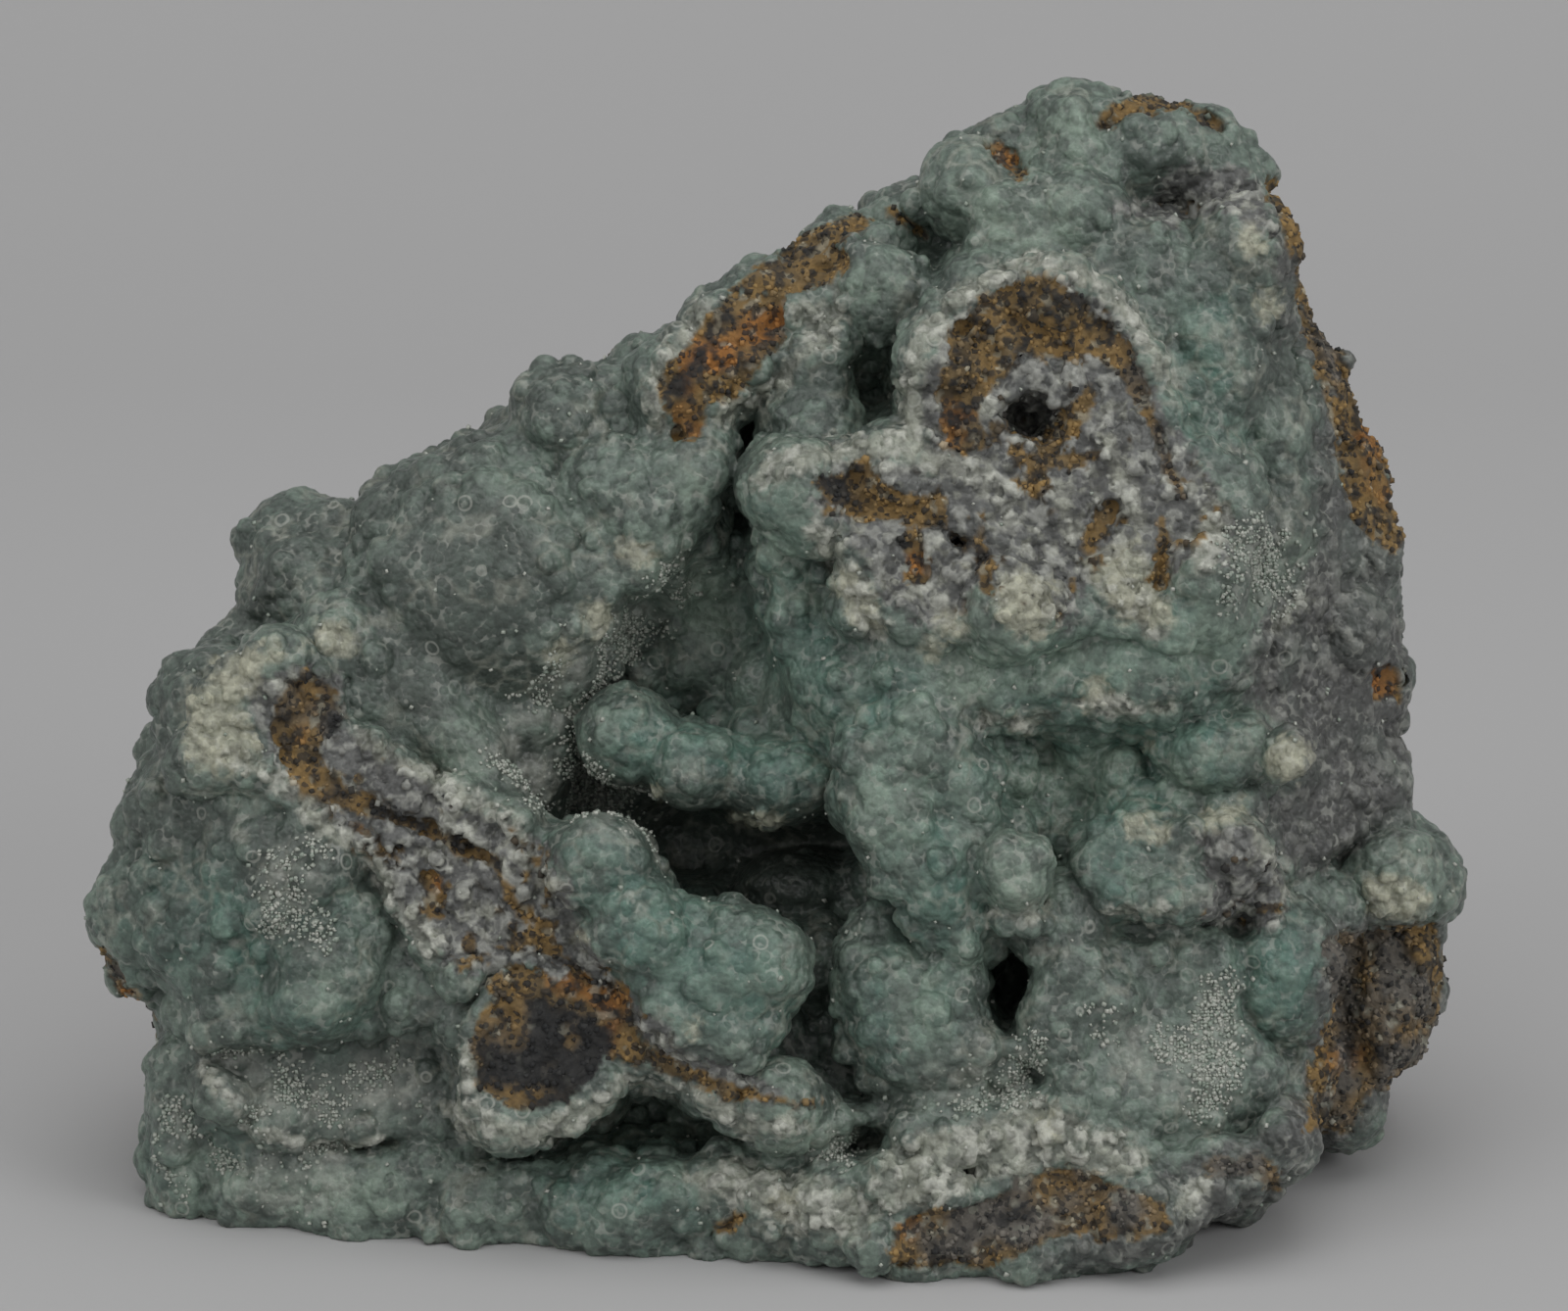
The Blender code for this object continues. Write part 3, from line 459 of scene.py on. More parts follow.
# Finish zones as the front view shows them. (across, up) lists are filled outlines, and
# (across, up, half width) lists are strokes, but each of the spots stands alone.
GANGUE = {
    "arch_band": [
        (15.8, 86.8), (15.5, 90), (16.5, 93), (17.5, 97), (20, 99.5), (23, 101), (26, 102.2),
        (28, 101.7), (30, 100), (33, 97), (35, 95), (36.6, 92), (36, 89.8), (34, 92.5), (31, 94),
        (29, 93), (26, 94), (23.5, 94), (22.5, 91.5), (20.8, 90), (20, 87), (20.8, 85),
        (18.5, 83.4), (16.2, 84.4),
    ],
    "arch_leg": [(36.2, 90.5, 0.9), (38, 86, 0.7), (39.2, 82, 0.5), (40.5, 80, 0.4)],
    "arch_middle": [(31.2, 90, 1.1), (29.2, 87, 1.2), (26.2, 83.2, 1.1), (25.5, 80, 0.9)],
    "arch_dots": [(33, 78, 0.8), (31.2, 74.4, 0.9)],
    "below_arch": [(38.8, 76.5, 0.6), (38.4, 70.8, 0.8)],
    "arm": [
        (2.8, 80.8), (6, 82), (8.5, 83), (9.5, 81), (13, 80), (16.5, 79), (16.5, 76), (13, 76.3),
        (8, 77), (5, 78.5),
    ],
    "arm_spot": [(13.2, 74.2, 1.4), (13.7, 71.5, 1.2)],
    "arm_streak": [(20, 77, 0.7), (20.2, 73, 0.6), (20.8, 70, 0.5)],
    "crack": [(17.2, 75.4, 0.4), (19, 74.4, 0.5)],
    "orange_patch": [
        (-11, 85.2), (-12.4, 88), (-13, 90.4), (-11.6, 92.8), (-10, 95), (-8.2, 97.2), (-6, 100),
        (0, 100.2), (0.2, 95.5), (-2.4, 92), (-4.8, 89.6), (-8, 88.8), (-8.6, 85.4),
    ],
    "top_strip": [
        (-6.2, 99.8), (-2, 103.4), (3, 106.2), (7.5, 108.2), (9, 107.4), (5.5, 105), (7.2, 103.2),
        (4, 101), (0, 99.8), (-3, 100),
    ],
    "top_dash": [(10.8, 108.6, 0.5), (13, 107.2, 0.5), (14.5, 106, 0.3)],
    "peak_spot": [(21.5, 115.5, 0.8), (23, 113.8, 0.9), (24, 112.2, 0.5)],
    "peak_edge": [
        (31.8, 117.2), (33, 119.2), (36, 120.8), (39.8, 120.8), (41.8, 119), (40, 118.7),
        (36, 118.4), (33.2, 117),
    ],
    "peak_right": [(41.5, 118.8, 0.5), (44.6, 117, 0.4)],
    "right_strip": [
        (50, 110.8, 1), (52.2, 107.4, 1.4), (53.4, 102.5, 1.4), (54.4, 97, 1.4), (55.8, 92.2, 1.6),
        (58.6, 88.5, 2.6), (59.8, 84, 3.4), (60.6, 79, 3), (61.8, 75, 1.6),
    ],
    "right_block": [(59.4, 62), (63, 62.1), (63.1, 58.4), (59.9, 58)],
    "ridge": [
        (-51.2, 60), (-48.8, 61.4), (-46, 60), (-45, 56.5), (-46.6, 55.2), (-47.8, 53), (-45.5, 51),
        (-44.4, 48.8), (-46, 47.6), (-49, 49.8), (-51.4, 52.5), (-52, 56),
    ],
    "ridge_line": [
        (-45.5, 48.8, 1), (-40, 46.8, 0.8), (-35, 44.8, 0.7), (-29.5, 42.2, 0.9), (-28, 38.5, 0.6),
        (-25.5, 34.5, 0.5), (-20.2, 29.6, 0.7),
    ],
    "ridge_spot": [(-36.2, 40.4, 0.9), (-35.4, 37, 0.7)],
    "knot": [
        (-31.6, 18.8), (-31.5, 24), (-30.5, 28), (-30, 30.5), (-27, 31.6), (-23, 30.2), (-20, 29),
        (-15.8, 29.2), (-14.8, 24), (-12.8, 22), (-15, 20.8), (-18, 21.8), (-20.8, 18.8),
        (-24, 16.8), (-27, 16.8), (-29.6, 17.8),
    ],
    "knot_line": [(-19.8, 29.8, 0.7), (-23.5, 33.5, 0.3), (-26.5, 37.5, 0.3)],
    "knot_streak": [
        (-13.8, 22.4, 0.9), (-10, 20.5, 0.7), (-5.8, 18.8, 0.7), (-1, 17.8, 0.4), (3.2, 17.4, 0.5),
    ],
    "bottom_spot": [(-6, 4.8, 0.8), (-4.2, 6, 0.8)],
    "bottom_right": [
        (10.5, 0.5), (11, 5), (14, 6.4), (19, 7), (24, 9.5), (28.5, 11.2), (31.2, 10.2), (35, 8.5),
        (39, 7.6), (39.6, 5), (36, 3.4), (28, 3.8), (22, 1), (16, 0.4),
    ],
    "bottom_far": [(43.2, 11, 0.9), (49, 11, 1.2), (50, 8.8, 0.7)],
    "right_foot": [
        (55.2, 34.5), (60, 35.2), (66.8, 35.7), (67.2, 30), (65.8, 20.8), (60.2, 18.6),
        (57.8, 14.5), (53, 14.5), (54, 22), (56, 27), (55, 30),
    ],
    "left_edge": [(-69.6, 33.2, 0.5), (-67.5, 29, 0.6), (-65, 26, 0.8), (-64.8, 23.8, 0.6)],
    "spots": [(-32.2, 33.8, 0.8), (-42.5, 45, 0.5)],
}
ORANGE = {
    "patch": [(-0.5, 97.5, 1.6), (-4, 95.5, 1.6), (-10, 92.5, 1.2), (-9.5, 86.5, 1)],
    "arch_foot": [(17, 84.5, 1), (17.5, 87.5, 1.4)],
    "knot_top": [(-23, 30, 0.8), (-16, 27, 1), (-18, 24, 0.8)],
    "right": [(59.2, 86, 0.8), (61.2, 79.5, 1.2)],
    "left": [(-67.5, 29, 0.6), (-64.8, 25.5, 0.8)],
    "spots": [
        (13.8, 72.2, 1.2), (-49.5, 55.8, 0.9), (-35, 39.5, 0.6), (-42.5, 45, 0.6), (12.5, 5, 1.2),
        (61.2, 60.5, 1.4), (57.5, 22, 1.6), (22.8, 114.2, 1),
    ],
}
BLACK = {
    "knot": [(-26.5, 23.4, 4.8), (-21.2, 22, 4.2)],
    "knot_low": [(-29, 20.4, 2.2), (-24.5, 18.2, 1.8), (-18, 22.8, 2)],
    "ridge_top": [(-49, 60.5, 1.2), (-46.5, 59.5, 1.2), (-46, 56.5, 0.8)],
    "ridge": [(-45.5, 48.8, 0.5), (-40, 47, 0.8), (-33, 43.8, 0.9), (-28.8, 41.6, 1)],
    "ridge_spot": [(-37, 39.5, 0.7), (-34.8, 36.4, 0.7), (-32.2, 33.8, 0.8)],
    "arch_right": [(29, 101, 0.8), (33, 97, 0.8), (35, 95, 0.7)],
    "arch_side": [(38, 91, 0.7), (39, 85, 0.5), (40.5, 80, 0.8), (45, 81, 0.5)],
    "arch_inner": [(30, 91.5, 0.8), (32, 90, 0.7)],
    "arm": [(4.5, 80.8, 0.7), (8, 78.5, 0.5)],
    "crack": [(17.2, 75.4, 0.6), (19, 74.4, 0.7), (20.2, 72.2, 0.6)],
    "patch": [(-10.5, 90.5, 0.8), (-6, 98, 0.8), (-1, 95, 0.5)],
    "foot": [(28, 8.5, 1), (22, 5.5, 0.7)],
    "spots": [(11.8, 74, 0.9), (62, 62, 0.5)],
}
BROKEN = {
    "arch": [
        (14, 90), (16, 96), (21, 100.4), (26, 102.4), (30, 101), (34, 97), (37, 92), (39, 87),
        (43, 82), (46.2, 77), (45, 72), (42, 74), (39, 70), (35, 74), (31, 71), (29, 66), (20, 70),
        (18, 67), (13, 66), (9, 70), (6, 76), (3, 79), (5, 82), (10, 83), (15, 82),
    ],
    "ridge": [
        (-56, 60), (-50, 62), (-45.5, 61), (-44.8, 56), (-40, 52.5), (-35, 50), (-32, 47),
        (-27, 45), (-23.8, 43), (-21.5, 38), (-19.5, 34), (-16, 29), (-16, 26), (-20, 28),
        (-26, 31.5), (-31, 30), (-35, 32), (-39, 36), (-40.5, 41), (-45, 45), (-50, 49), (-52, 53),
    ],
    "lobe": [
        (41.8, 45), (48, 46.2), (50.5, 41), (51.4, 38.5), (50, 35.8), (46.6, 34.5), (42.2, 36.5),
        (43.8, 40),
    ],
    "top": [
        (39, 113), (45, 113), (49, 111), (50, 106), (44, 108.5), (40, 107), (33, 108.5), (38, 110),
    ],
    "knot_rim": [(-20, 30, 1.2), (-16, 27, 1.4), (-10, 21.5, 1.2), (-2, 18.5, 1.2)],
}
RIMS = {
    "arch": [
        (13.5, 84, 1), (12.8, 90, 1.2), (13.5, 94.5, 1.2), (16.5, 98.2, 1.2), (21, 101.4, 1),
        (26, 103.2, 0.7), (31, 101.8, 0.9), (35, 98.2, 0.9), (38.2, 93.8, 0.8), (39.6, 89.8, 0.7),
    ],
    "arm": [
        (-2.2, 80.8, 1.2), (0, 83, 1.2), (6, 83.7, 1.2), (11, 84.8, 1.2), (13.5, 83, 1.2),
        (18.5, 82, 1),
    ],
    "arm_low": [(3, 76, 0.9), (5, 74, 0.9), (7.2, 70, 1.4), (9.2, 66, 1)],
    "patch": [(-12.8, 87.2, 1.2), (-13.2, 91, 1.2), (-11, 95, 1.2), (-7.8, 98.2, 1)],
    "patch_right": [(1.5, 98, 1.6), (5, 97.5, 1.4), (1.5, 93.5, 1), (-2.2, 90, 1), (-6, 87.5, 0.9)],
    "ridge_left": [
        (-56, 53, 1.2), (-51.5, 50, 0.7), (-46, 45, 0.9), (-42, 43, 0.9), (-40, 38, 1),
        (-36, 34, 1.2),
    ],
    "ridge_right": [
        (-43, 54.8, 0.5), (-39, 52.2, 0.6), (-34.5, 50, 0.8), (-28, 45.5, 1), (-25.5, 42, 0.8),
    ],
    "knot": [
        (-32, 22.5, 0.7), (-32.4, 18, 0.9), (-29.5, 14.5, 1.1), (-25, 14, 1.2), (-20.5, 16, 0.9),
        (-16, 20, 0.7), (-10, 18.8, 0.5), (-4, 15.4, 0.8), (2.2, 15, 0.7),
    ],
    "panel_lip": [
        (-59.2, 20.8, 0.4), (-56, 17, 0.4), (-53.8, 14, 0.4), (-46, 13.2, 0.4), (-41.5, 13.5, 0.4),
    ],
    "panel_right": [(-34, 17, 1), (-32, 15, 1)],
    "overhang": [
        (20.8, 56.8, 0.8), (24.5, 56.2, 0.8), (28.5, 58.2, 0.6), (32.5, 58.4, 0.9),
        (36.5, 57.4, 0.5), (39.5, 58, 0.4),
    ],
    "foot": [
        (8.5, 6), (9, 10), (10.5, 12.5), (14.5, 15.2), (20, 15.4), (26, 18), (31, 15), (35, 14.5),
        (38, 11.5), (35, 9.5), (28.5, 11.4), (23, 10), (16, 7.2), (11.5, 6.2),
    ],
    "foot_left": [
        (-10, 10), (-4, 11.5), (2, 10), (8, 8.5), (9.5, 5), (6, 2.8), (0, 4.5), (-6, 7.5),
    ],
    "arch_centre": [(28.2, 80, 1.1), (29.5, 76, 1)],
    "arch_window": [(33, 85, 0.9), (35, 80, 0.9), (36.5, 75.5, 1)],
    "arch_low": [(34, 70, 1.4), (38, 66, 1.2)],
    "arch_right": [(43.5, 78, 1.4), (43, 73, 1.2)],
    "lobe_foot": [(21, 36.5, 0.5), (26.5, 36.5, 0.6)],
    "fibres": [(40, 6, 0.8), (43, 9, 0.5)],
    "right_edge": [(54, 70, 0.7), (50, 66, 0.6)],
    "lower_lobe": [(33, 37.5, 0.4), (40, 36.6, 0.4)],
    "lobe_right": [(47.5, 46.5, 0.5), (51.2, 38.5, 0.5), (50, 36, 0.5)],
    "spots": [(-30, 37, 0.8)],
}
CREAM = {
    "corner": [
        (-60.7, 52.8), (-60, 59.5), (-57.5, 62.4), (-52, 64.4), (-50, 63.6), (-53.8, 61),
        (-55.5, 58), (-53.8, 54), (-56, 51.2), (-59.5, 51.5),
    ],
    "beside_lump": [(30.8, 72.8), (36, 74.4), (38.5, 71), (39.2, 66), (35, 66), (32.2, 69.6)],
    "arm_foot": [(4.8, 70.2), (6.8, 72.2), (9, 70), (10.5, 65.8), (8, 65.2)],
    "upper_left": [(-46.5, 65.2, 1.4), (-44.5, 64.8, 1.4)],
    "lobe_top": [(35.5, 45.8, 0.8), (38.5, 45, 1)],
    "recess_crumbs": [(43.2, 46.2, 1.2), (46.2, 47.2, 1)],
    "ledge_lip": [(-4.8, 46.5, 0.6), (-1, 46.4, 0.4)],
    "right_mass": [(61.5, 39, 2.2), (64, 38, 1.6)],
    "spots": [
        (24.5, 68.5, 3.4), (15.1, 63.8, 0.8), (17.5, 66, 1.3), (18.4, 72, 0.5), (24, 56, 0.5),
        (32, 58.8, 1.2), (51.4, 52.8, 2.1), (37.1, 53.9, 0.7), (-12.6, 49.1, 0.6),
        (-20.3, 34.5, 0.9), (-24, 39.8, 0.7), (-9.2, 24.4, 0.7), (-19.2, 66.8, 1.6),
        (-23, 63.2, 1.4), (-15, 73.5, 1.6), (27, 15, 1.6), (0, 7.5, 1.4), (49.5, 98.8, 1.7),
        (47.5, 105, 1.6), (36.5, 70, 1.4),
    ],
}
# Zones of pale crust. On the tongue, overhang and recess faces and the grey lobe it is painted
# light, lightening faces that get less light; elsewhere it is the crust's own pale colour.
PALE_AND_LIGHT = {
    "upper": [(17, 110.5), (26, 111.5), (31, 110.5), (31, 106), (26, 105), (20, 105.5)],
    "slit_edge": [(-10, 76, 0.8), (-12, 71, 1)],
    "foot_lobes": [(-6, 9.5, 2), (-11, 10, 1.4)],
    "foot_band": [(5, 15, 1.4), (-1, 14.5, 1)],
    "tongue_edge": [(8, 49, 1), (11, 43, 1), (14, 40, 0.8)],
    "tongue_face": [(10, 51.5, 3.4), (13, 45, 2.6), (13, 57, 2.2)],
    "overhang_face": [(19, 61, 2.8), (30, 62.8, 3.2), (42.5, 64.5, 3.2)],
    "recess_face": [(26, 50, 2.4), (34, 51, 2.4)],
    "grey_lobe": [(12.5, 31, 2.6), (14.5, 25, 3)],
    "left_foot": [(-60, 10, 2.2), (-50, 8, 1.8), (-40, 8.5, 1.8)],
    "arm_side": [(-1, 74, 2), (1, 69, 2)],
    "spots": [
        (23.6, 40.5, 3.4), (29, 116.5, 3.6), (19, 32.6, 1.8), (-47, 29, 3), (-33.5, 53.5, 3),
        (9, 101, 3), (-21, 41, 2), (-29, 46, 2.2), (48, 53.5, 1.6), (37, 40.5, 2.2),
        (52.5, 72, 2.8), (-8, 68, 3.6), (41, 51, 2.6), (-10.5, 81, 2.4),
    ],
}
FROST = {
    "shell_foot": [(-24, 56, 2.6), (-20, 62, 2), (-16, 66, 1.6)],
    "vug_slope": [(-28, 54, 3.6), (-24, 50, 2.4)],
    "panel": [(-55, 19, 2.6), (-48, 17, 2.4), (-40, 18, 2.4)],
    "left_foot": [(-56, 10, 2.2), (-50, 9, 2.4), (-46, 11, 2)],
    "left_side": [(-62, 15, 1), (-61.5, 11, 1)],
    "lobe_foot": [(20, 20, 1.4), (24, 21, 1.6), (23, 19, 1.4)],
    "slope": [(35, 24, 2.4), (42, 22, 3.6), (45, 27, 2.4)],
    "slope_foot": [(16, 18, 1), (20, 18.5, 1.2)],
    "arch_side": [(48, 74, 2.2), (49, 70, 1.6)],
    "vug": [(-20, 50, 2), (-16, 47, 2)],
    "wall_edge": [(-14, 66, 1), (-10, 70, 1)],
    "left_textured": [(-50, 40, 2.6), (-49, 35, 2)],
    "spots": [(5, 12.5, 1.6)],
}
GREEN = {
    "tongue": [(9, 60, 4), (10, 52, 5), (13, 44, 5), (16, 37, 4)],
    "left": [(-61, 37, 6), (-49, 34, 5), (-48, 28, 4.6)],
    "flap": [(-18, 41.5, 4.5), (-14, 34, 5), (-5, 31, 6)],
    "ledge": [(-15, 54.5, 3.4), (0, 51, 4.4)],
    "arm": [(0, 74, 3.4), (0, 66, 4), (5, 60, 4)],
    "recess": [(24, 51, 4.5), (35, 51, 6), (42, 54, 4)],
    "below_arch": [(24, 62, 4), (40, 64, 5)],
    "foot": [(-22, 9, 3), (-12, 8.5, 3.4)],
    "band": [(44, 97, 3.4), (44, 88, 3)],
    "spots": [(36, 41, 4), (13, 26, 6), (51, 30, 5), (-60, 11, 2.6)],
}
# Zones of dark grey crust. In the vug, on the right wall and on the drip, flank and front panel at
# the left it is painted shade; elsewhere it is the crust's own grey.
GREY_AND_SHADE = {
    "slope": [(-40, 60, 4), (-32, 54, 3), (-24, 50, 4)],
    "vug": [(-16, 47, 5), (0, 42, 7)],
    "right_wall": [(52, 74, 6), (57, 64, 6), (57, 48, 6)],
    "arch_inside": [(28, 85, 5), (33, 80, 5)],
    "left_layer": [(-65, 46, 2.6), (-60, 62, 3), (-48, 75, 4), (-32, 85, 2), (-22, 92, 1.4)],
    "ridge": [(-42, 50, 3), (-28, 40, 4)],
    "top": [(43, 110, 3.4), (50, 92, 3)],
    "below_lobe": [(6, 21, 3), (12, 17, 1.4)],
    "drip": [(-50, 40, 6), (-47, 30, 4)],
    "flank": [(-61, 45, 4), (-63, 34, 3.6)],
    "panel_front": [(-56, 20, 3.6), (-36, 20, 3.6)],
    "dome_low": [(-38, 64, 4), (-28, 61, 4)],
    "spots": [(-33, 71, 9.5), (46, 40, 3.4)],
}
UMBER = {
    "knot": [(-26, 23.5, 4.4), (-21, 22.5, 3.4)],
    "foot": [(15, 3.2, 2), (20, 4.8, 3), (28, 7.5, 3.4), (35, 6, 2)],
    "far": [(43.2, 11, 1.4), (49, 10.5, 1.6)],
    "right_foot": [(58.5, 32, 5.2), (62, 26, 5.2), (57.5, 18, 3)],
    "ridge": [(-48.2, 59.5, 2.6), (-46, 56, 1.6)],
    "arch_right": [(35, 95, 1), (38, 90, 1.2), (40, 80, 1.2)],
    "strip": [(54.5, 100, 0.6), (56.2, 90.5, 0.8)],
    "spots": [(-68.2, 31, 1), (35, 6.5, 2)],
}
ROUGH = {
    "right_wall": [
        (48.5, 66), (54.5, 74), (54, 82), (55, 92), (50, 97), (50, 110), (55, 104), (60, 91),
        (64, 82), (64, 70), (64, 45), (53, 41), (47.5, 47), (53, 50), (53, 54), (46, 60),
    ],
    "right_foot": [
        (54.5, 36), (68, 36), (67, 20), (58, 14), (50, 7), (39, 1), (26, 0.5), (38, 10), (50, 15),
        (54, 24),
    ],
}
SMOOTH = {
    "shell": [(-38, 64, 5), (-28, 61, 5)],
    "panel": [(-52, 19, 4), (-36, 19, 4)],
    "wall": [(-10, 66, 6), (-3, 61, 5)],
    "slope": [(-38, 58, 4), (-24, 51, 3.6)],
    "vug": [(-16, 47, 4), (5, 42, 5)],
    "drusy_slope": [(35, 25, 5), (43, 24, 5)],
    "right_wall": [(55, 74, 4), (57, 62, 5), (57, 50, 5)],
    "spots": [(-31, 71, 8), (23.6, 40.7, 3.2), (-48, 28, 4), (-25.5, 24, 6)],
}

# What each finish zone is drawn from, and the width in millimetres over which it fades out. The
# grey zones also hold painted shade, and the pale zones painted light
ZONES = {
    "gangue": (GANGUE, 0.3), "orange": (ORANGE, 1.2), "black": (BLACK, 0.9),
    "broken": (BROKEN, 0.7), "rim": (RIMS, 0.8), "cream": (CREAM, 1.0), "pale": (PALE_AND_LIGHT, 2.2),
    "rough": (ROUGH, 1.6), "umber": (UMBER, 1.6), "smooth": (SMOOTH, 4.0), "frost": (FROST, 4.0),
    "green": (GREEN, 6.0), "grey": (GREY_AND_SHADE, 6.0),
}

# A zone that fades out over this width or more is frayed by wider noise
WIDE_EDGE = 3.0


def unit(values):
    """Values held between 0 and 1."""
    return np.clip(values, 0.0, 1.0)


def smoothed(part):
    """Shares from 0 to 1, with a level start and end."""
    return part * part * (3 - 2 * part)


def unit_length(vectors):
    return vectors / np.maximum(np.linalg.norm(vectors, axis=1, keepdims=True), 1e-9)


def in_view(outline, fore):
    """Corners that the front view shows, as (across, up), in the view's own axes at a depth."""
    nearer = 1.0 - fore / VIEW_DISTANCE
    return np.array([(across * nearer, (up - AIM_UP) * nearer) for across, up in outline])


def to_view(across, up, fore):
    """A feature of the front view in the view's own axes, with the perspective taken out."""
    return np.array((*in_view([(across, up)], fore)[0], fore), np.float32)


def in_picture(points):
    """Where the front view shows points of the view's own axes: across and up."""
    nearer = 1.0 - points[:, 2] / VIEW_DISTANCE
    return points[:, 0] / nearer, points[:, 1] / nearer + AIM_UP


def turned_to_world(directions):
    """Directions in the view's axes as directions in the frame."""
    parts = np.asarray(directions, np.float64)
    return sum(parts[:, turn:turn + 1] * np.array(axis) for turn, axis in enumerate(VIEW_AXES))


def to_world(points):
    """Points in the view's axes, in millimetres, as places in the frame, in metres."""
    return (turned_to_world(points) + np.array(AIM)) * MM


def height(up, fore):
    """Height above the table, in millimetres, of places in the view's own axes."""
    return up * TO_TOP[2] + fore * TO_VIEWER[2] + AIM[2]


def soft_join(first, second, reach):
    """Union of two distance fields with a fillet."""
    near = np.maximum(reach - np.abs(first - second), 0.0) / reach
    return np.minimum(first, second) - near * near * reach * 0.25


def soft_cut(first, second, reach):
    """The first field with the second taken away, with a rounded edge."""
    return -soft_join(-first, second, reach)


def ellipsoid(x, y, z, radii):
    """Distance to an ellipsoid about the origin, good near its skin."""
    squares = (x / radii[0]) ** 2 + (y / radii[1]) ** 2 + (z / radii[2]) ** 2
    slopes = (x / radii[0] ** 2) ** 2 + (y / radii[1] ** 2) ** 2 + (z / radii[2] ** 2) ** 2
    out = np.sqrt(squares)
    return out * (out - 1.0) / np.sqrt(slopes + 1e-9)


def rounded_slab(side, depth, rounding):
    """Distance to a slab with rounded edges, from the distances to its outline and its faces."""
    side = side + rounding
    depth = depth + rounding
    slab = np.minimum(np.maximum(side, depth), 0.0) - rounding
    return slab + np.hypot(np.maximum(side, 0.0), np.maximum(depth, 0.0))


def outline_distance(x, y, outline):
    """Signed distance to a closed outline, negative inside."""
    corners = np.array(outline, np.float32)
    nearest = np.full(np.broadcast(x, y).shape, VERY_FAR, np.float32)
    inside = np.zeros(nearest.shape, bool)
    for (ax, ay), (bx, by) in zip(corners, np.roll(corners, -1, 0)):
        ex, ey = bx - ax, by - ay
        wx, wy = x - ax, y - ay
        along = unit((wx * ex + wy * ey) / (ex * ex + ey * ey))
        nearest = np.minimum(nearest, (wx - ex * along) ** 2 + (wy - ey * along) ** 2)
        if by != ay:
            inside ^= ((ay > y) != (by > y)) & (x < ex * (y - ay) / ey + ax)
    return np.where(inside, -1.0, 1.0) * np.sqrt(nearest)


def stroke_distance(across, up, stroke):
    """Signed distance to a stroke of changing width, or to a round spot if it has one point."""
    best = np.full(across.shape, VERY_FAR, np.float32)
    joints = list(zip(stroke, stroke[1:])) or [(stroke[0], stroke[0])]
    for (ax, ay, ar), (bx, by, br) in joints:
        ex, ey = bx - ax, by - ay
        length = max(ex * ex + ey * ey, 1e-6)
        along = unit(((across - ax) * ex + (up - ay) * ey) / length)
        width = ar + (br - ar) * along
        best = np.minimum(best, np.hypot(across - ax - ex * along, up - ay - ey * along) - width)
    return best


def blended(values, first, part):
    """A grid's values at places, each blended from the eight samples round it. first is the
    lowest of the eight, and part is how far the place is from it towards the next ones."""
    total = np.zeros(len(first), np.float32)
    for corner in np.ndindex(2, 2, 2):
        i, j, k = (first + np.array(corner)).T
        weight = np.prod([part[:, n] if corner[n] else 1 - part[:, n] for n in range(3)], 0)
        total += weight * values[i, j, k]
    return total


def lattice_weights(places, low, size, count):
    """Weights that blend lattice values spaced size apart at each place, smoothly."""
    spot = (places - low) / size
    first = np.clip(np.floor(spot).astype(int), 0, count - 2)
    part = smoothed(unit(spot - first))
    weights = np.zeros((len(places), count), np.float32)
    rows = np.arange(len(places))
    weights[rows, first] = 1 - part
    weights[rows, first + 1] += part
    return weights


def grid_noise(axes, size, seed):
    """Smooth noise from -1 to 1 on a whole grid."""
    rng = np.random.default_rng(seed)
    counts = [int((axis[-1] - axis[0]) / size) + 3 for axis in axes]
    noise = rng.uniform(-1, 1, counts).astype(np.float32)
    for axis, count in zip(axes, counts):
        weights = lattice_weights(axis, axis[0] - size / 2, size, count)
        noise = np.tensordot(noise, weights, axes=([0], [1]))
    return noise


def point_noise(points, size, seed):
    """Smooth noise from -1 to 1 at points."""
    rng = np.random.default_rng(seed)
    counts = [int((high - low + 2 * NOISE_MARGIN) / size) + 3 for low, high in zip(LOW, HIGH)]
    lattice = rng.uniform(-1, 1, counts).astype(np.float32)
    spot = (points - (np.array(LOW) - NOISE_MARGIN)) / size
    first = np.floor(spot).astype(int)
    return blended(lattice, first, smoothed(spot - first))


def cells_at(points, size, seed):
    """The scattered centre nearest to each point: its distance and how much nearer it is than the
    next one, both in sizes, and a number from 0 to 1 drawn for it."""
    drawn_cells = (CELL_REPEAT, CELL_REPEAT, CELL_REPEAT, 4)
    table = np.random.default_rng(seed).random(drawn_cells).astype(np.float32)
    table[..., :3] = CELL_MARGIN + (1 - 2 * CELL_MARGIN) * table[..., :3]
    spot = (points / size).astype(np.float32)
    home = np.floor(spot).astype(int)
    nearest = np.full(len(points), VERY_FAR, np.float32)
    second = nearest.copy()
    drawn = np.zeros(len(points), np.float32)
    for offset in np.ndindex(3, 3, 3):
        cell = home + np.array(offset) - 1
        i, j, k = cell.T % CELL_REPEAT
        found = table[i, j, k]
        gap = np.linalg.norm(cell + found[:, :3] - spot, axis=1)
        closer = gap < nearest
        second = np.where(closer, nearest, np.minimum(second, gap))
        drawn = np.where(closer, found[:, 3], drawn)
        nearest = np.where(closer, gap, nearest)
    return nearest, second - nearest, drawn


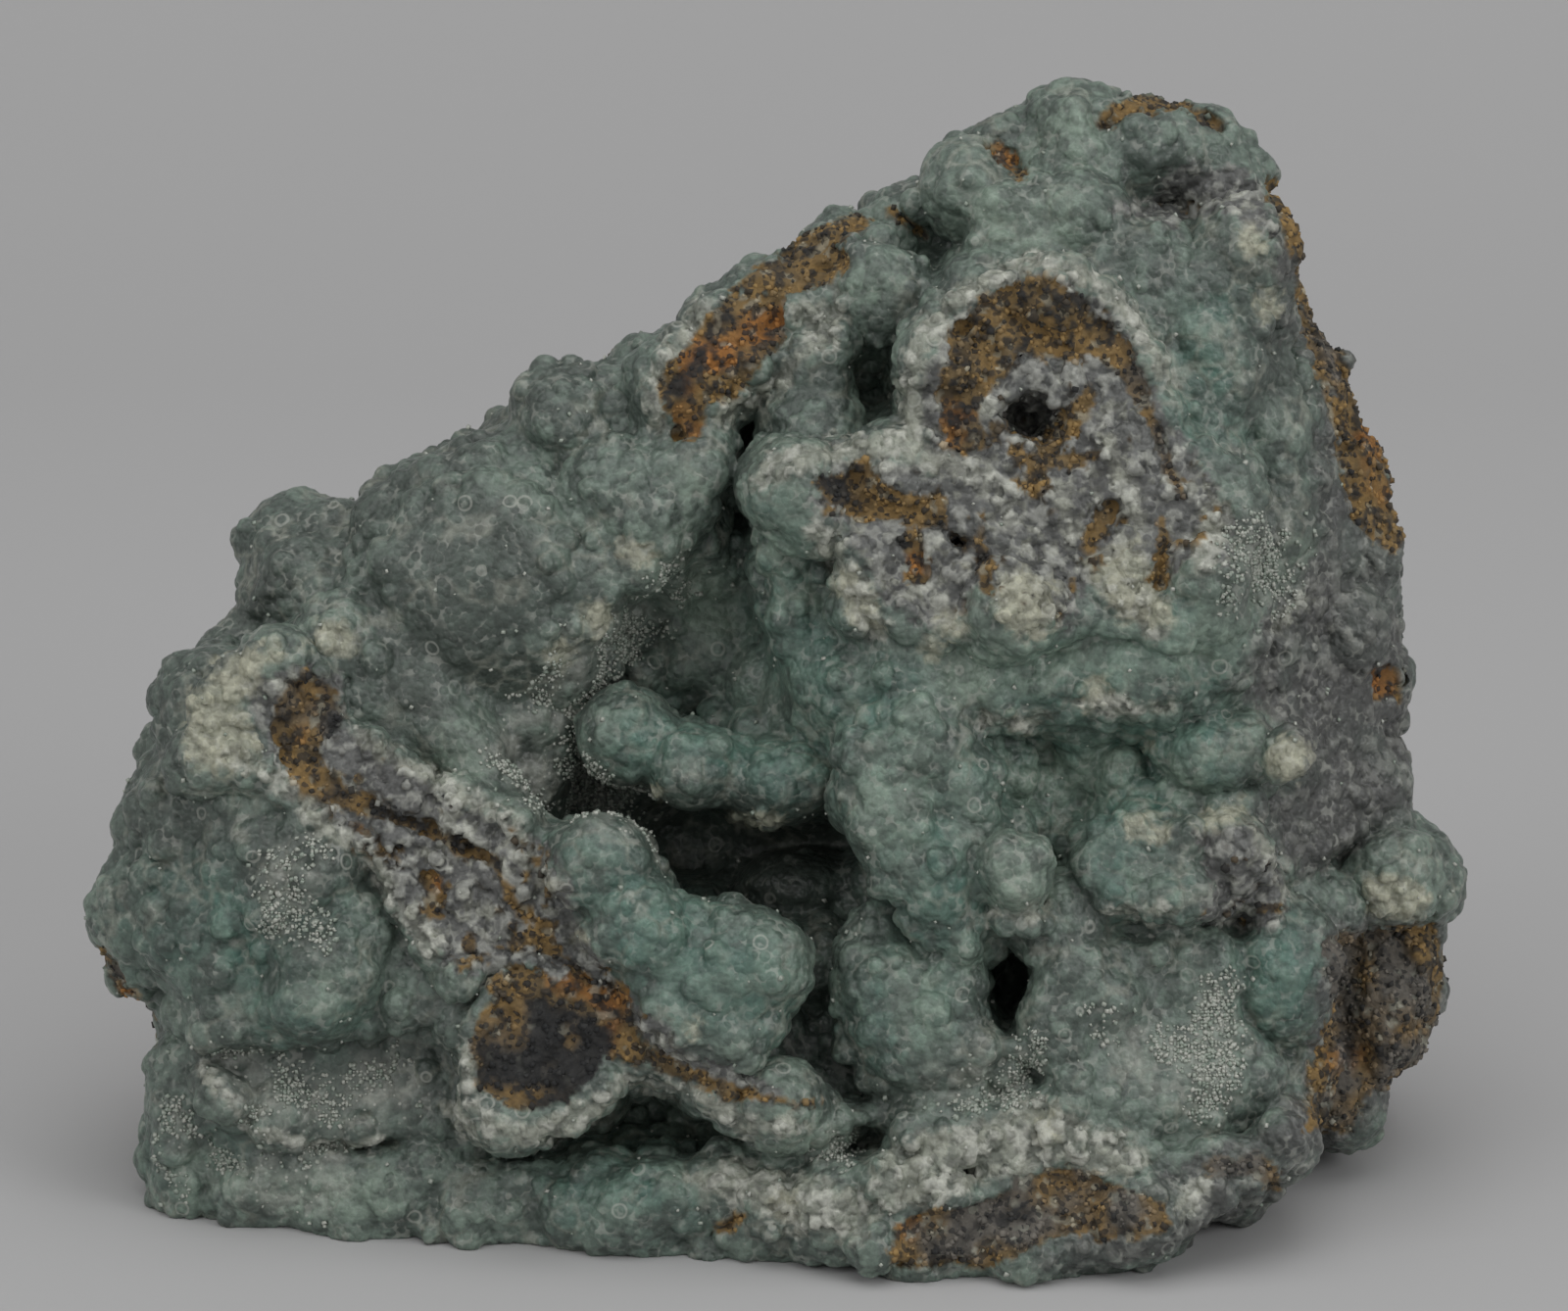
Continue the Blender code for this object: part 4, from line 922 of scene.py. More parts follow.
class Field:
    """Distance to the rock's skin on an even grid in the view's axes: negative inside."""

    # How far past a lobe or a ball the grid is worked out again, in millimetres
    LOBE_MARGIN = 2.0
    BALL_MARGIN = 0.4

    def __init__(self, step, counts):
        self.step = step
        self.axes = [low + step * np.arange(count, dtype=np.float32)
                     for low, count in zip(LOW, counts)]
        self.values = np.full(counts, OPEN_SPACE, np.float32)

    def around(self, middle, reach):
        """The part of the grid near a place: its slices and its three axes from that place."""
        spans = [slice(*np.searchsorted(axis, (centre - far, centre + far)).tolist())
                 for axis, centre, far in zip(self.axes, middle, reach)]
        near = [axis[span] - centre for axis, span, centre in zip(self.axes, spans, middle)]
        return tuple(spans), np.meshgrid(*near, indexing="ij", sparse=True)

    def add_lobe(self, middle, radii, fillet):
        margin = fillet + self.LOBE_MARGIN
        spans, (x, y, z) = self.around(middle, [radius + margin for radius in radii])
        self.values[spans] = soft_join(self.values[spans], ellipsoid(x, y, z, radii), fillet)

    def add_ball(self, middle, radius, fillet):
        spans, (x, y, z) = self.around(middle, [radius + fillet + self.BALL_MARGIN] * 3)
        ball = np.sqrt(x * x + y * y + z * z) - radius
        self.values[spans] = soft_join(self.values[spans], ball, fillet)

    def finer(self):
        """The same field at half the step, slightly softened."""
        fine = Field(self.step / 2, [2 * count - 1 for count in self.values.shape])
        values = self.values
        for turn in range(3):
            values = np.moveaxis(values, turn, 0)
            doubled = np.empty((2 * len(values) - 1,) + values.shape[1:], np.float32)
            doubled[::2] = values
            doubled[1::2] = (values[1:] + values[:-1]) * 0.5
            doubled[1:-1] = (doubled[:-2] + 2 * doubled[1:-1] + doubled[2:]) * 0.25
            values = np.moveaxis(doubled, 0, turn)
        fine.values = np.ascontiguousarray(values)
        return fine

    def at(self, points):
        """The field's value at points, blended between samples."""
        spot = (points - np.array(LOW, np.float32)) / self.step
        first = np.clip(np.floor(spot).astype(int), 0, np.array(self.values.shape) - 2)
        return blended(self.values, first, unit(spot - first))

    def slope(self, points):
        """Outward directions at points."""
        steps = np.eye(3) * self.step
        rises = [self.at(points + step) - self.at(points - step) for step in steps]
        return unit_length(np.stack(rises, 1))

    def skin(self):
        """Points and quads of the surface where the field is zero, in the view's axes."""
        grid = openvdb.FloatGrid(OPEN_SPACE)
        grid.copyFromArray(self.values)
        points, quads = grid.convertToQuads(0.0)
        return points * self.step + np.array(LOW, np.float32), quads


def add_slices(field):
    x, y = field.axes[0][:, None], field.axes[1][None, :]
    for front, back, outline in SLICES.values():
        side = outline_distance(x, y, in_view(outline, front))[:, :, None]
        depth = np.abs(field.axes[2] - (front + back) / 2) - (front - back) / 2
        slab = rounded_slab(side, depth, SLICE_ROUNDING)
        field.values = soft_join(field.values, slab, SLICE_FILLET)


def add_lobes(field, tables, fillet):
    for table in tables:
        for across, up, fore, *radii in table:
            field.add_lobe(to_view(across, up, fore), radii, fillet)


def cut_hollows(field, *names):
    hollows = Field(field.step, field.values.shape)
    add_lobes(hollows, [HOLLOWS[name] for name in names], HOLLOW_FILLET)
    field.values = soft_cut(field.values, hollows.values, CUT_FILLET)


def add_plates(field):
    """Joins the plates to the rock. A sharp-edged plate first clears what bulges in front of it."""
    margin, margin_behind = 5.0, 6.0
    cleared_inset, cleared_fillet = 0.8, 1.2
    wobble = grid_noise(field.axes, size=6.0, seed=8) * 0.5
    wobble += grid_noise(field.axes, size=2.6, seed=9) * 0.35
    for front, back, rounding, lean_across, lean_up, outline in PLATES.values():
        corners = in_view(outline, front)
        start = np.maximum(np.append(corners.min(0) - margin, back - margin_behind), LOW)
        end = np.minimum(np.append(corners.max(0) + margin, HIGH[2]), HIGH)
        middle = (start + end) / 2
        spans, near = field.around(middle, (end - start) / 2)
        x, y, z = (axis + centre for axis, centre in zip(near, middle))
        centre = corners.mean(0)
        lean = lean_across * (x - centre[0]) + lean_up * (y - centre[1])
        side = outline_distance(x[:, :, 0], y[:, :, 0], corners)[:, :, None] + wobble[spans]
        face = z - front - lean + wobble[spans] * 0.8
        kept = field.values[spans]
        if rounding < SHARP_EDGE:
            cleared = np.maximum(side + cleared_inset, -face)
            kept = soft_cut(kept, cleared, cleared_fillet)
        slab = rounded_slab(side, np.maximum(face, back - z), rounding)
        field.values[spans] = soft_join(kept, slab, PLATE_FILLET)


def break_faces(field):
    """Cuts the broken faces of the back and the sides, which are uneven where they lie far back."""
    x, y, z = np.meshgrid(*field.axes, indexing="ij", sparse=True)
    relief = grid_noise(field.axes, size=17.0, seed=5) * 2.2
    relief += grid_noise(field.axes, size=7.0, seed=6) * 1.1
    behind = unit((-8.0 - z) / 10.0)
    for spot, facing in BREAKS.values():
        point = to_view(*spot)
        normal = Vector(facing).normalized()
        a, b, c = (normal.dot(Vector(axis)) for axis in VIEW_AXES)
        plane = (x - point[0]) * a + (y - point[1]) * b + (z - point[2]) * c
        field.values = soft_cut(field.values, -(plane + relief * behind), BREAK_FILLET)


def rough_rock():
    """The rock's large shape."""
    counts = [round((high - low) / COARSE_STEP) + 1 for low, high in zip(LOW, HIGH)]
    field = Field(COARSE_STEP, counts)
    add_slices(field)
    add_lobes(field, LOBES.values(), LOBE_FILLET)
    break_faces(field)
    cut_hollows(field, "vug", "recess_under_overhang")
    add_plates(field)
    add_lobes(field, INSIDE.values(), INSIDE_FILLET)
    cut_hollows(field, "small_holes", "bottom_cave")
    return field


class FrontMap:
    """Distance to the outlines, strokes and spots of a finish zone, read at any point."""

    STEP = 0.3
    MARGIN = 4.0

    def __init__(self, zone):
        low = (LOW[0] - self.MARGIN, LOW[1] + AIM_UP - self.MARGIN)
        high = (HIGH[0] + self.MARGIN, HIGH[1] + AIM_UP + self.MARGIN)
        self.low = np.array(low, np.float32)
        counts = np.ceil((np.array(high) - self.low) / self.STEP).astype(int)
        axes = [low + self.STEP * np.arange(count, dtype=np.float32)
                for low, count in zip(self.low, counts)]
        across, up = np.meshgrid(*axes, indexing="ij")
        self.values = np.full(across.shape, VERY_FAR, np.float32)
        shapes = [shape for name, shape in zone.items() if name != "spots"]
        shapes += [[spot] for spot in zone.get("spots", ())]
        for shape in shapes:
            measure = stroke_distance if len(shape[0]) == 3 else outline_distance
            self.values = np.minimum(self.values, measure(across, up, shape))

    def at(self, points):
        spot = (np.stack(in_picture(points), 1) - self.low) / self.STEP
        first = np.clip(spot.astype(int), 0, np.array(self.values.shape) - 2)
        part = unit(spot - first)
        i, j = first.T
        low = self.values[i, j] * (1 - part[:, 0]) + self.values[i + 1, j] * part[:, 0]
        high = self.values[i, j + 1] * (1 - part[:, 0]) + self.values[i + 1, j + 1] * part[:, 0]
        return low * (1 - part[:, 1]) + high * part[:, 1]


def ragged_noise(points):
    """Noise that frays the edge of a finish zone."""
    return point_noise(points, size=2.4, seed=21) + 0.6 * point_noise(points, size=1.0, seed=22)


def share(distance, edge):
    """1 inside a zone and 0 outside, over an edge of the given width."""
    return unit(0.5 - distance / edge)


def front_share(points, normals):
    """1 where the photographed side is, falling to 0 on the back and the underside."""
    facing = unit(normals[:, 2] * 2.5 + 1.2)
    depth = unit((points[:, 2] + 22.0) / 8.0)
    return facing * depth


def paint(points, normals, maps, grain):
    """The finish zones at points, by name, each from 0 to 1. grain is drawn from 0 to 1 for each
    grain, so that the edges of the zones run round whole grains."""
    front = front_share(points, normals)
    fray = ragged_noise(points)
    fray_wide = point_noise(points, size=5.0, seed=23) * 2.0 + fray
    found = {}
    for turn, (name, (_, edge)) in enumerate(ZONES.items()):
        frayed = (fray if edge < WIDE_EDGE else fray_wide) * min(1.0, 0.35 + edge * 0.4)
        frayed = frayed * (-1.0 if turn % 2 else 1.0) + (grain - 0.5) * min(1.1, edge * 2.0)
        found[name] = share(maps[name].at(points) + frayed, edge) * front

    def raise_to(name, values):
        found[name] = np.maximum(found[name], values)

    broken = found["broken"]
    lumps = point_noise(points, size=2.6, seed=51) + 0.6 * point_noise(points, size=1.2, seed=52)
    lumps = lumps + (grain - 0.5) * 0.8
    sugar = point_noise(points, size=2.6, seed=53) + 0.5 * point_noise(points, size=1.0, seed=54)
    sugar = sugar + (grain - 0.5) * 1.2
    raise_to("gangue", broken * unit(lumps * 6.0 - 3.0))
    raise_to("rim", broken * np.clip(sugar * 2.6 - 1.0, 0.0, 0.8))
    rear = 1.0 - front
    patchy = point_noise(points, size=14.0, seed=41) + 0.5 * point_noise(points, size=5.0, seed=42)
    crusted = unit(0.5 + (patchy - 0.35 + (points[:, 2] + 14.0) / 14.0) * 3.0)
    raise_to("gangue", rear * (1.0 - crusted))
    black = np.clip(point_noise(points, size=9.0, seed=43) * 3.0 - 0.9, 0.0, 0.6)
    orange = unit(point_noise(points, size=7.0, seed=44) * 3.0 - 0.9)
    raise_to("black", rear * black)
    raise_to("orange", rear * orange)
    umber = rear * np.clip(0.95 - patchy * 1.2, 0.25, 1.0)
    found["umber"] = np.minimum(found["umber"] + umber, 1.0)
    raise_to("grey", rear * 0.6)
    return found


def scattered(points, spacing, seed):
    """Indices of points about spacing apart, one drawn from each cell of a jittered grid."""
    most = 1000
    rng = np.random.default_rng(seed)
    order = rng.permutation(len(points))
    cells = np.floor((points[order] + rng.uniform(0, spacing, 3)) / spacing).astype(np.int64) + most
    keys = (cells[:, 0] * 2 * most + cells[:, 1]) * 2 * most + cells[:, 2]
    _, first = np.unique(keys, return_index=True)
    return order[np.sort(first)]


def add_swellings(field, skin, where, scale, kind):
    """Rounded swellings of one kind, grown on the skin where it has enough crust."""
    points, normals = skin
    spacing, radius, stand, fillet, seed, chance = SWELLINGS[kind]
    rng = np.random.default_rng(seed)
    chosen = scattered(points, spacing, seed)
    chosen = chosen[rng.random(len(chosen)) < where[chosen] * chance]
    radii = radius * scale * rng.uniform(0.65, 1.4, len(chosen))
    rise = stand * rng.uniform(0.4, 1.3, len(chosen))
    centres = points[chosen] - normals[chosen] * (radii * (1 - rise))[:, None]
    for centre, size in zip(centres, radii):
        field.add_ball(centre, float(size), fillet)


def carve_gangue(field, zone):
    """Sinks the gangue a little below the crust round it, with a crumbly floor."""
    band, farthest_back, margin = 2.0, -16.0, 2.5
    x, y, z = np.nonzero(np.abs(field.values) < band)
    places = np.stack((field.axes[0][x], field.axes[1][y], field.axes[2][z]), 1)
    near = (places[:, 2] > farthest_back) & (zone.at(places) < margin)
    x, y, z, places = x[near], y[near], z[near], places[near]
    inside = share(zone.at(places) + ragged_noise(places) * 0.5, edge=1.0)
    crumbs = 0.35 + 0.4 * point_noise(places, size=2.0, seed=61)
    crumbs = crumbs + 0.3 * point_noise(places, size=0.9, seed=62)
    field.values[x, y, z] += inside * crumbs


def skin_finish(field, maps):
    """The skin's points and normals, and their finish zones."""
    points, _ = field.skin()
    normals = field.slope(points)
    finish = paint(points, normals, maps, cells_at(points, *CELLS["grit"])[2])
    return (points, normals), finish


def fitted_rock(swelling, maps):
    """The field of the finished rock, and the smooth one below its swellings."""
    smooth = rough_rock()
    field = smooth.finer()
    skin, finish = skin_finish(field, maps)
    crust = (1.0 - finish["gangue"]) * (1.0 - 0.85 * finish["broken"])
    coarse = crust * (1.0 - 0.9 * finish["smooth"])
    add_swellings(field, skin, coarse, swelling, "lobes")
    add_swellings(field, skin, coarse, swelling, "knobs")
    skin, finish = skin_finish(field, maps)
    crust = (1.0 - finish["gangue"]) * (1.0 - 0.7 * finish["smooth"])
    sugar = unit(finish["rim"] + finish["cream"] + 0.5 * finish["broken"])
    add_swellings(field, skin, crust, swelling, "beads")
    add_swellings(field, skin, sugar, swelling, "crumbs")
    carve_gangue(field, maps["gangue"])
    floor = height(field.axes[1][:, None], field.axes[2])
    field.values = np.maximum(field.values, -floor)
    return field, smooth


def mix(first, second, amount):
    return first + (np.asarray(second, np.float32) - first) * amount[:, None]


def plain(colour, count):
    """The same colour for each of many points."""
    return np.tile(np.asarray(colour, np.float32), (count, 1))


def openness(field, points, normals):
    """How open the space in front of each point is: 1 on a bulge, near 0 deep in a hollow."""
    total = np.zeros(len(points), np.float32)
    reaches = (1.2, 3.0, 6.0)
    for reach in reaches:
        total += unit(field.at(points + normals * reach) / reach)
    return total / len(reaches)


def dome(distance):
    """Height of a round cap over its cell, from 1 in the middle to 0 at the edge."""
    return np.sqrt(unit(1.0 - (distance / 0.85) ** 2))


def relief_of(points, finish, cells):
    """How far the beads and grains lift the skin, in millimetres."""
    smooth = 1.0 - 0.7 * finish["smooth"]
    bead, small_bead, sugar, grit = (cells[name] for name in CELLS)
    crust = (dome(bead[0]) - 0.6) * 0.36 + (dome(small_bead[0]) - 0.6) * 0.36
    crust += (bead[2] - 0.5) * 0.2 + (small_bead[2] - 0.5) * 0.1
    sugary = (sugar[2] - 0.5) * 0.55 + (dome(sugar[0]) - 0.6) * 0.3
    gritty = (grit[2] - 0.5) * 0.4 + point_noise(points, size=2.0, seed=92) * 0.3
    gritty += point_noise(points, size=6.0, seed=93) * 0.8
    broken = (finish["broken"] + finish["rough"]) * 0.8
    coarse = unit(finish["rim"] + finish["cream"] + broken)
    lift = crust * smooth * (1.0 - coarse) + sugary * coarse
    return lift * (1.0 - finish["gangue"]) + gritty * finish["gangue"]


def crust_colour(finish, cells, noise, stand, look):
    """The crust's colour: beads in greens and greys with a painted highlight on raised tips and
    painted shade in their creases, then broken faces, rims, lumps and frost.
    """
    bead, small_bead, grain = (cells[name][2] for name in ("bead", "small_bead", "sugar"))
    tone = unit(0.5 + (bead - 0.5) * 0.8 + (small_bead - 0.5) * 0.9 + 0.45 * noise["broad"])
    crust = mix(plain(look.deep_crust, len(tone)), look.crust, unit(tone * 1.7))
    greenness = finish["green"] * (0.7 + 0.5 * noise["mid"] + 0.6 * (tone - 0.5))
    crust = mix(crust, look.green, unit(greenness) * 0.9)
    # Grey zones: the crust's own grey, and painted shade on the vug, the right wall and the left
    # side
    crust = mix(crust, look.grey, unit(finish["grey"] * (0.8 + 0.4 * noise["broad"])) * 0.85)
    # Painted highlight: tips that stand out from the smooth shape are made paler, together with the
    # beads' own random tone
    risen = unit((stand - 0.35) * 0.5 + (tone - 0.5) * 1.4)
    crust = mix(crust, look.pale, risen * (1.0 - 0.8 * finish["grey"]) * 0.42)
    crust = mix(crust, look.deep_crust, unit((0.25 - tone) * 3.0) * 0.4)
    # Pale lines along some bead edges are the stone's own; along the others the creases between
    # beads are darkened as painted shade
    seam = unit(1.0 - cells["bead"][1] / 0.2)
    pale_seam = unit(noise["mid"] * 2.5 - 0.1)
    crust = mix(crust, look.rim, seam * pale_seam * 0.5)
    crust = crust * (1.0 - 0.16 * seam * (1.0 - pale_seam))[:, None]
    # Painted shade in the creases between the small beads
    small_seam = unit(1.0 - cells["small_bead"][1] / 0.25)
    crust = crust * (1.0 - 0.08 * small_seam)[:, None]
    # Pale zones: the crust's own pale colour, and painted light on the tongue, overhang and recess
    # faces and the grey lobe
    crust = mix(crust, look.pale, unit(finish["pale"] * (0.7 + 0.7 * (tone - 0.5))) * 0.75)
    crust = mix(crust, look.broken, finish["broken"] * 0.9)
    rough = np.asarray(look.broken, np.float32) * 0.68
    crust = mix(crust, rough, unit(finish["rough"] * (0.9 + 0.5 * noise["mid"])) * 0.9)
    crust = mix(crust, look.rim, unit(finish["rim"] * (0.55 + 0.6 * grain)) * 0.9)
    crust = mix(crust, look.cream, unit(finish["cream"] * (0.7 + 0.4 * grain)) * 0.95)
    white = unit(finish["rim"] + finish["broken"] * 0.6 + finish["rough"] * 0.25)
    crust = mix(crust, look.frost, white * (grain > 0.72) * 0.6)
    dull = unit(finish["rim"] + finish["broken"])
    crust = crust * (1.0 - 0.3 * dull * (grain < 0.25))[:, None]
    return mix(crust, look.frost, unit(finish["frost"] * (0.45 + 0.7 * noise["fine"])) * 0.45)


def gangue_colour(points, finish, grit, noise, look):
    """The gangue's colour: ochre and brown, then rust, umber, and pale and black grains."""
    patch = point_noise(points, size=2.6, seed=85)
    gangue = plain(look.ochre, len(points))
    gangue = mix(gangue, look.brown, unit(grit * 1.1 + patch * 0.9 - 0.1) * 0.8)
    gangue = mix(gangue, look.orange, unit(finish["orange"] * (0.7 + 0.5 * noise["mid"])) * 0.85)
    gangue = mix(gangue, look.umber, unit(finish["umber"] * (0.85 + 0.9 * patch)) * 0.92)
    gangue = mix(gangue, look.rim, (grit < 0.08) * 0.5)
    dark = (grit > 0.82) + unit(patch * 1.6 + noise["fine"] * 1.2 - 0.7)
    black = finish["black"] * (0.75 + 0.8 * patch + 0.7 * (grit - 0.5))
    black = np.clip(black + dark * (0.75 - 0.4 * finish["umber"]), 0.0, 0.92)
    return mix(gangue, look.black, black)


def colour_of(points, finish, cells, stand, clear, look):
    """The base colour of the stone at each point, darkened by painted shade where little open space
    lies in front of it.
    """
    noise = {name: point_noise(points, size, seed) for name, (size, seed) in TONES.items()}
    crust = crust_colour(finish, cells, noise, stand, look)
    gangue = gangue_colour(points, finish, cells["grit"][2], noise, look)
    whole = crust * (1 - finish["gangue"][:, None]) + gangue * finish["gangue"][:, None]
    # Painted shade: the colour is darkened in hollows, where little open space lies in front of the
    # skin
    shade = 1.0 - look.hollow_shade * (1.0 - clear)
    return whole * shade[:, None]


class MaterialMaker:
    """Short forms for building a shader's nodes."""

    def __init__(self, name):
        self.material = bpy.data.materials.new(name)
        self.material.use_nodes = True
        self.tree = self.material.node_tree
        self.shader = self.tree.nodes["Principled BSDF"]
        self.places = self.add("ShaderNodeTexCoord").outputs["Object"]

    def add(self, kind, settings=None, **inputs):
        node = self.tree.nodes.new(kind)
        for name, value in (settings or {}).items():
            setattr(node, name, value)
        for name, value in inputs.items():
            self.put(node.inputs[name.replace("_", " ")], value)
        return node

    def put(self, socket, value):
        if isinstance(value, bpy.types.NodeSocket):
            self.tree.links.new(value, socket)
        else:
            socket.default_value = value

    def set(self, name, value):
        self.put(self.shader.inputs[name], value)

    def noise(self, size, detail, roughness):
        node = self.add("ShaderNodeTexNoise", Vector=self.places, Scale=1.0 / (size * MM),
                        Detail=detail, Roughness=roughness)
        return node.outputs["Fac"]

    def cells(self, size):
        node = self.add("ShaderNodeTexVoronoi", Vector=self.places, Scale=1.0 / (size * MM))
        return node.outputs["Distance"], self.channels(node.outputs["Color"])

    def grey(self, value):
        return self.add("ShaderNodeCombineColor", Red=value, Green=value, Blue=value).outputs[0]

    def ramp(self, value, low, high, to_low=0.0, to_high=1.0):
        node = self.add("ShaderNodeMapRange", {"interpolation_type": "SMOOTHSTEP"})
        for name, given in zip(("Value", "From Min", "From Max", "To Min", "To Max"),
                               (value, low, high, to_low, to_high)):
            self.put(node.inputs[name], given)
        return node.outputs["Result"]

    def maths(self, operation, first, second):
        node = self.add("ShaderNodeMath", {"operation": operation})
        self.put(node.inputs[0], first)
        self.put(node.inputs[1], second)
        return node.outputs[0]

    def times(self, first, second):
        return self.maths("MULTIPLY", first, second)

    def blend(self, factor, first, second, how="MIX"):
        node = self.add("ShaderNodeMix", {"data_type": "RGBA", "blend_type": how})
        self.put(node.inputs["Factor"], factor)
        # The colour sockets share their names with those for other data, so they go by number
        self.put(node.inputs[6], first)
        self.put(node.inputs[7], second)
        return node.outputs[2]

    def attribute(self, name):
        return self.add("ShaderNodeAttribute", {"attribute_name": name}).outputs["Color"]

    def channels(self, colour):
        return self.add("ShaderNodeSeparateColor", Color=colour).outputs

    def bump(self, height, strength, distance):
        node = self.add("ShaderNodeBump", Height=height, Strength=strength, Distance=distance * MM)
        return node.outputs["Normal"]


def rgba(colour):
    return (*colour, 1.0)


def stone_material(look):
    """Waxy crust of fused beads, frosted skin and matt gangue, told apart by the finish."""
    make = MaterialMaker("smithsonite_stone")
    gangue, frost, sugar = make.channels(make.attribute("finish"))[:3]
    tint = make.attribute("tint")
    mass, mass_pick = make.cells(2.9)
    speck, speck_pick = make.cells(0.5)
    crumb, crumb_pick = make.cells(0.85)
    # Fine mottling, and a tone of its own for each crumb
    mottle = make.ramp(make.noise(0.8, 3.0, 0.65), 0.3, 0.7, 0.84, 1.16)
    spread = make.ramp(sugar, 0.0, 1.0, 0.30, 0.38)
    own = make.maths("ADD", 1.0, make.times(spread, make.maths("SUBTRACT", crumb_pick[0], 0.5)))
    tint = make.blend(1.0, tint, make.grey(make.times(mottle, own)), "MULTIPLY")
    # Small pale rings on the crust, white flecks on the frost, and pale edges of crumbs
    ring = make.times(make.ramp(mass, 0.19, 0.23), make.ramp(mass, 0.31, 0.27))
    ring = make.times(ring, make.ramp(mass_pick[1], 0.88, 0.90, 0.0, 0.4))
    fleck = make.times(make.ramp(speck_pick[0], 0.84, 0.9), make.ramp(speck, 0.42, 0.2))
    white = make.times(fleck, make.ramp(frost, 0.0, 1.0, 0.10, 0.85))
    chips = make.ramp(crumb, 0.58, 0.72)
    patch = make.ramp(make.noise(2.2, 2.0, 0.5), 0.45, 0.62)
    edge = make.times(make.times(chips, patch), 0.3)
    white = make.maths("MAXIMUM", edge, white)
    pale = make.blend(make.maths("MAXIMUM", ring, white), tint, rgba(look.frost))
    # Black grit in the gangue
    grit = make.times(make.ramp(speck_pick[1], 0.80, 0.82, 0.0, 0.7), gangue)
    both = make.blend(grit, make.blend(gangue, pale, tint), rgba(look.black))
    make.set("Base Color", both)
    make.set("Roughness", make.ramp(gangue, 0.0, 1.0, look.gloss, 0.92))
    grain = make.maths("ADD", make.noise(0.5, 3.0, 0.6), make.ramp(crumb, 0.0, 0.7, 0.9, 0.0))
    strength = make.ramp(make.maths("MAXIMUM", gangue, sugar), 0.0, 1.0, 0.6, 0.9)
    make.set("Normal", make.bump(grain, strength, 0.2))
    make.set("Subsurface Weight", make.ramp(gangue, 0.0, 0.5, look.glow, 0.0))
    make.set("Subsurface Radius", (1.0, 1.0, 0.9))
    make.set("Subsurface Scale", 0.5 * MM)
    return make.material


def crumb_material(name, roughness, ior):
    """Crystals or grains, coloured by their own tint."""
    make = MaterialMaker(name)
    make.set("Base Color", make.attribute("tint"))
    make.set("Roughness", roughness)
    make.set("IOR", ior)
    return make.material


def mesh_from(name, points, faces, sides):
    """A mesh of points in metres and faces that all have the same number of sides."""
    mesh = bpy.data.meshes.new(name)
    mesh.vertices.add(len(points))
    mesh.vertices.foreach_set("co", np.ascontiguousarray(points, np.float32).ravel())
    mesh.loops.add(len(faces) * sides)
    mesh.loops.foreach_set("vertex_index", np.ascontiguousarray(faces, np.int32).ravel())
    mesh.polygons.add(len(faces))
    starts = np.arange(0, len(faces) * sides, sides, dtype=np.int32)
    mesh.polygons.foreach_set("loop_start", starts)
    mesh.update(calc_edges=True)
    return mesh


def add_colour(mesh, name, colours):
    layer = mesh.color_attributes.new(name, "FLOAT_COLOR", "POINT")
    full = np.ones((len(colours), 4), np.float32)
    full[:, :3] = colours
    layer.data.foreach_set("color", full.ravel())


def thinned(points, quads, triangles, keep):
    """The skin with fewer faces, most of them taken where keep is low, as points and triangles."""
    mesh = mesh_from("skin", points * MM, quads, 4)
    obj = bpy.data.objects.new("skin", mesh)
    bpy.context.scene.collection.objects.link(obj)
    group = obj.vertex_groups.new(name="thin")
    levels = np.round((1.0 - keep) * THIN_LEVELS).astype(int)
    for level in range(1, THIN_LEVELS + 1):
        group.add(np.nonzero(levels == level)[0].tolist(), level / THIN_LEVELS, "REPLACE")
    thin = obj.modifiers.new("thin", "DECIMATE")
    thin.ratio = min(1.0, triangles / (2 * len(quads)))
    thin.use_collapse_triangulate = True
    thin.vertex_group = "thin"
    evaluated = obj.evaluated_get(bpy.context.evaluated_depsgraph_get())
    made = evaluated.to_mesh()
    made.calc_loop_triangles()
    found = np.empty(len(made.vertices) * 3, np.float32)
    made.vertices.foreach_get("co", found)
    faces = np.empty(len(made.loop_triangles) * 3, np.int32)
    made.loop_triangles.foreach_get("vertices", faces)
    evaluated.to_mesh_clear()
    bpy.data.objects.remove(obj)
    bpy.data.meshes.remove(mesh)
    return found.reshape(-1, 3) / MM, faces.reshape(-1, 3)


def face_directions(points, faces):
    """The direction of each triangle, as long as twice its area."""
    a, b, c = (points[faces[:, turn]] for turn in range(3))
    return np.cross(b - a, c - a)


def vertex_normals(points, faces):
    """Area-weighted directions of the skin at its points."""
    flat = face_directions(points, faces)
    total = np.zeros_like(points)
    for corner in faces.T:
        for axis in range(3):
            total[:, axis] += np.bincount(corner, flat[:, axis], len(points))
    return unit_length(total)


def skin_parts(points, faces):
    """The place in PARTS of the part of the skin that each triangle belongs to."""
    middle = points[faces].mean(1)
    facing = unit_length(face_directions(points, faces))[:, 2]
    across, up = in_picture(middle)
    upper, left, arch, lower, back = range(len(PARTS))
    part = np.where(across < np.interp(up, DIVIDE_UP, DIVIDE_ACROSS),
                    np.where(up < LEFT_PARTS_MEET, left, upper),
                    np.where(up < RIGHT_PARTS_MEET, lower, arch))
    # The back is what lies far behind the middle, and what lies behind it and faces away
    part[(middle[:, 2] < -20) | ((facing < -0.2) & (middle[:, 2] < -6))] = back
    return part


def add_piece(name, mesh, material):
    """Puts a mesh in the scene as a piece of the specimen."""
    mesh.materials.append(material)
    obj = bpy.data.objects.new(name, mesh)
    bpy.context.scene.collection.objects.link(obj)
    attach(obj, "root")
    return obj


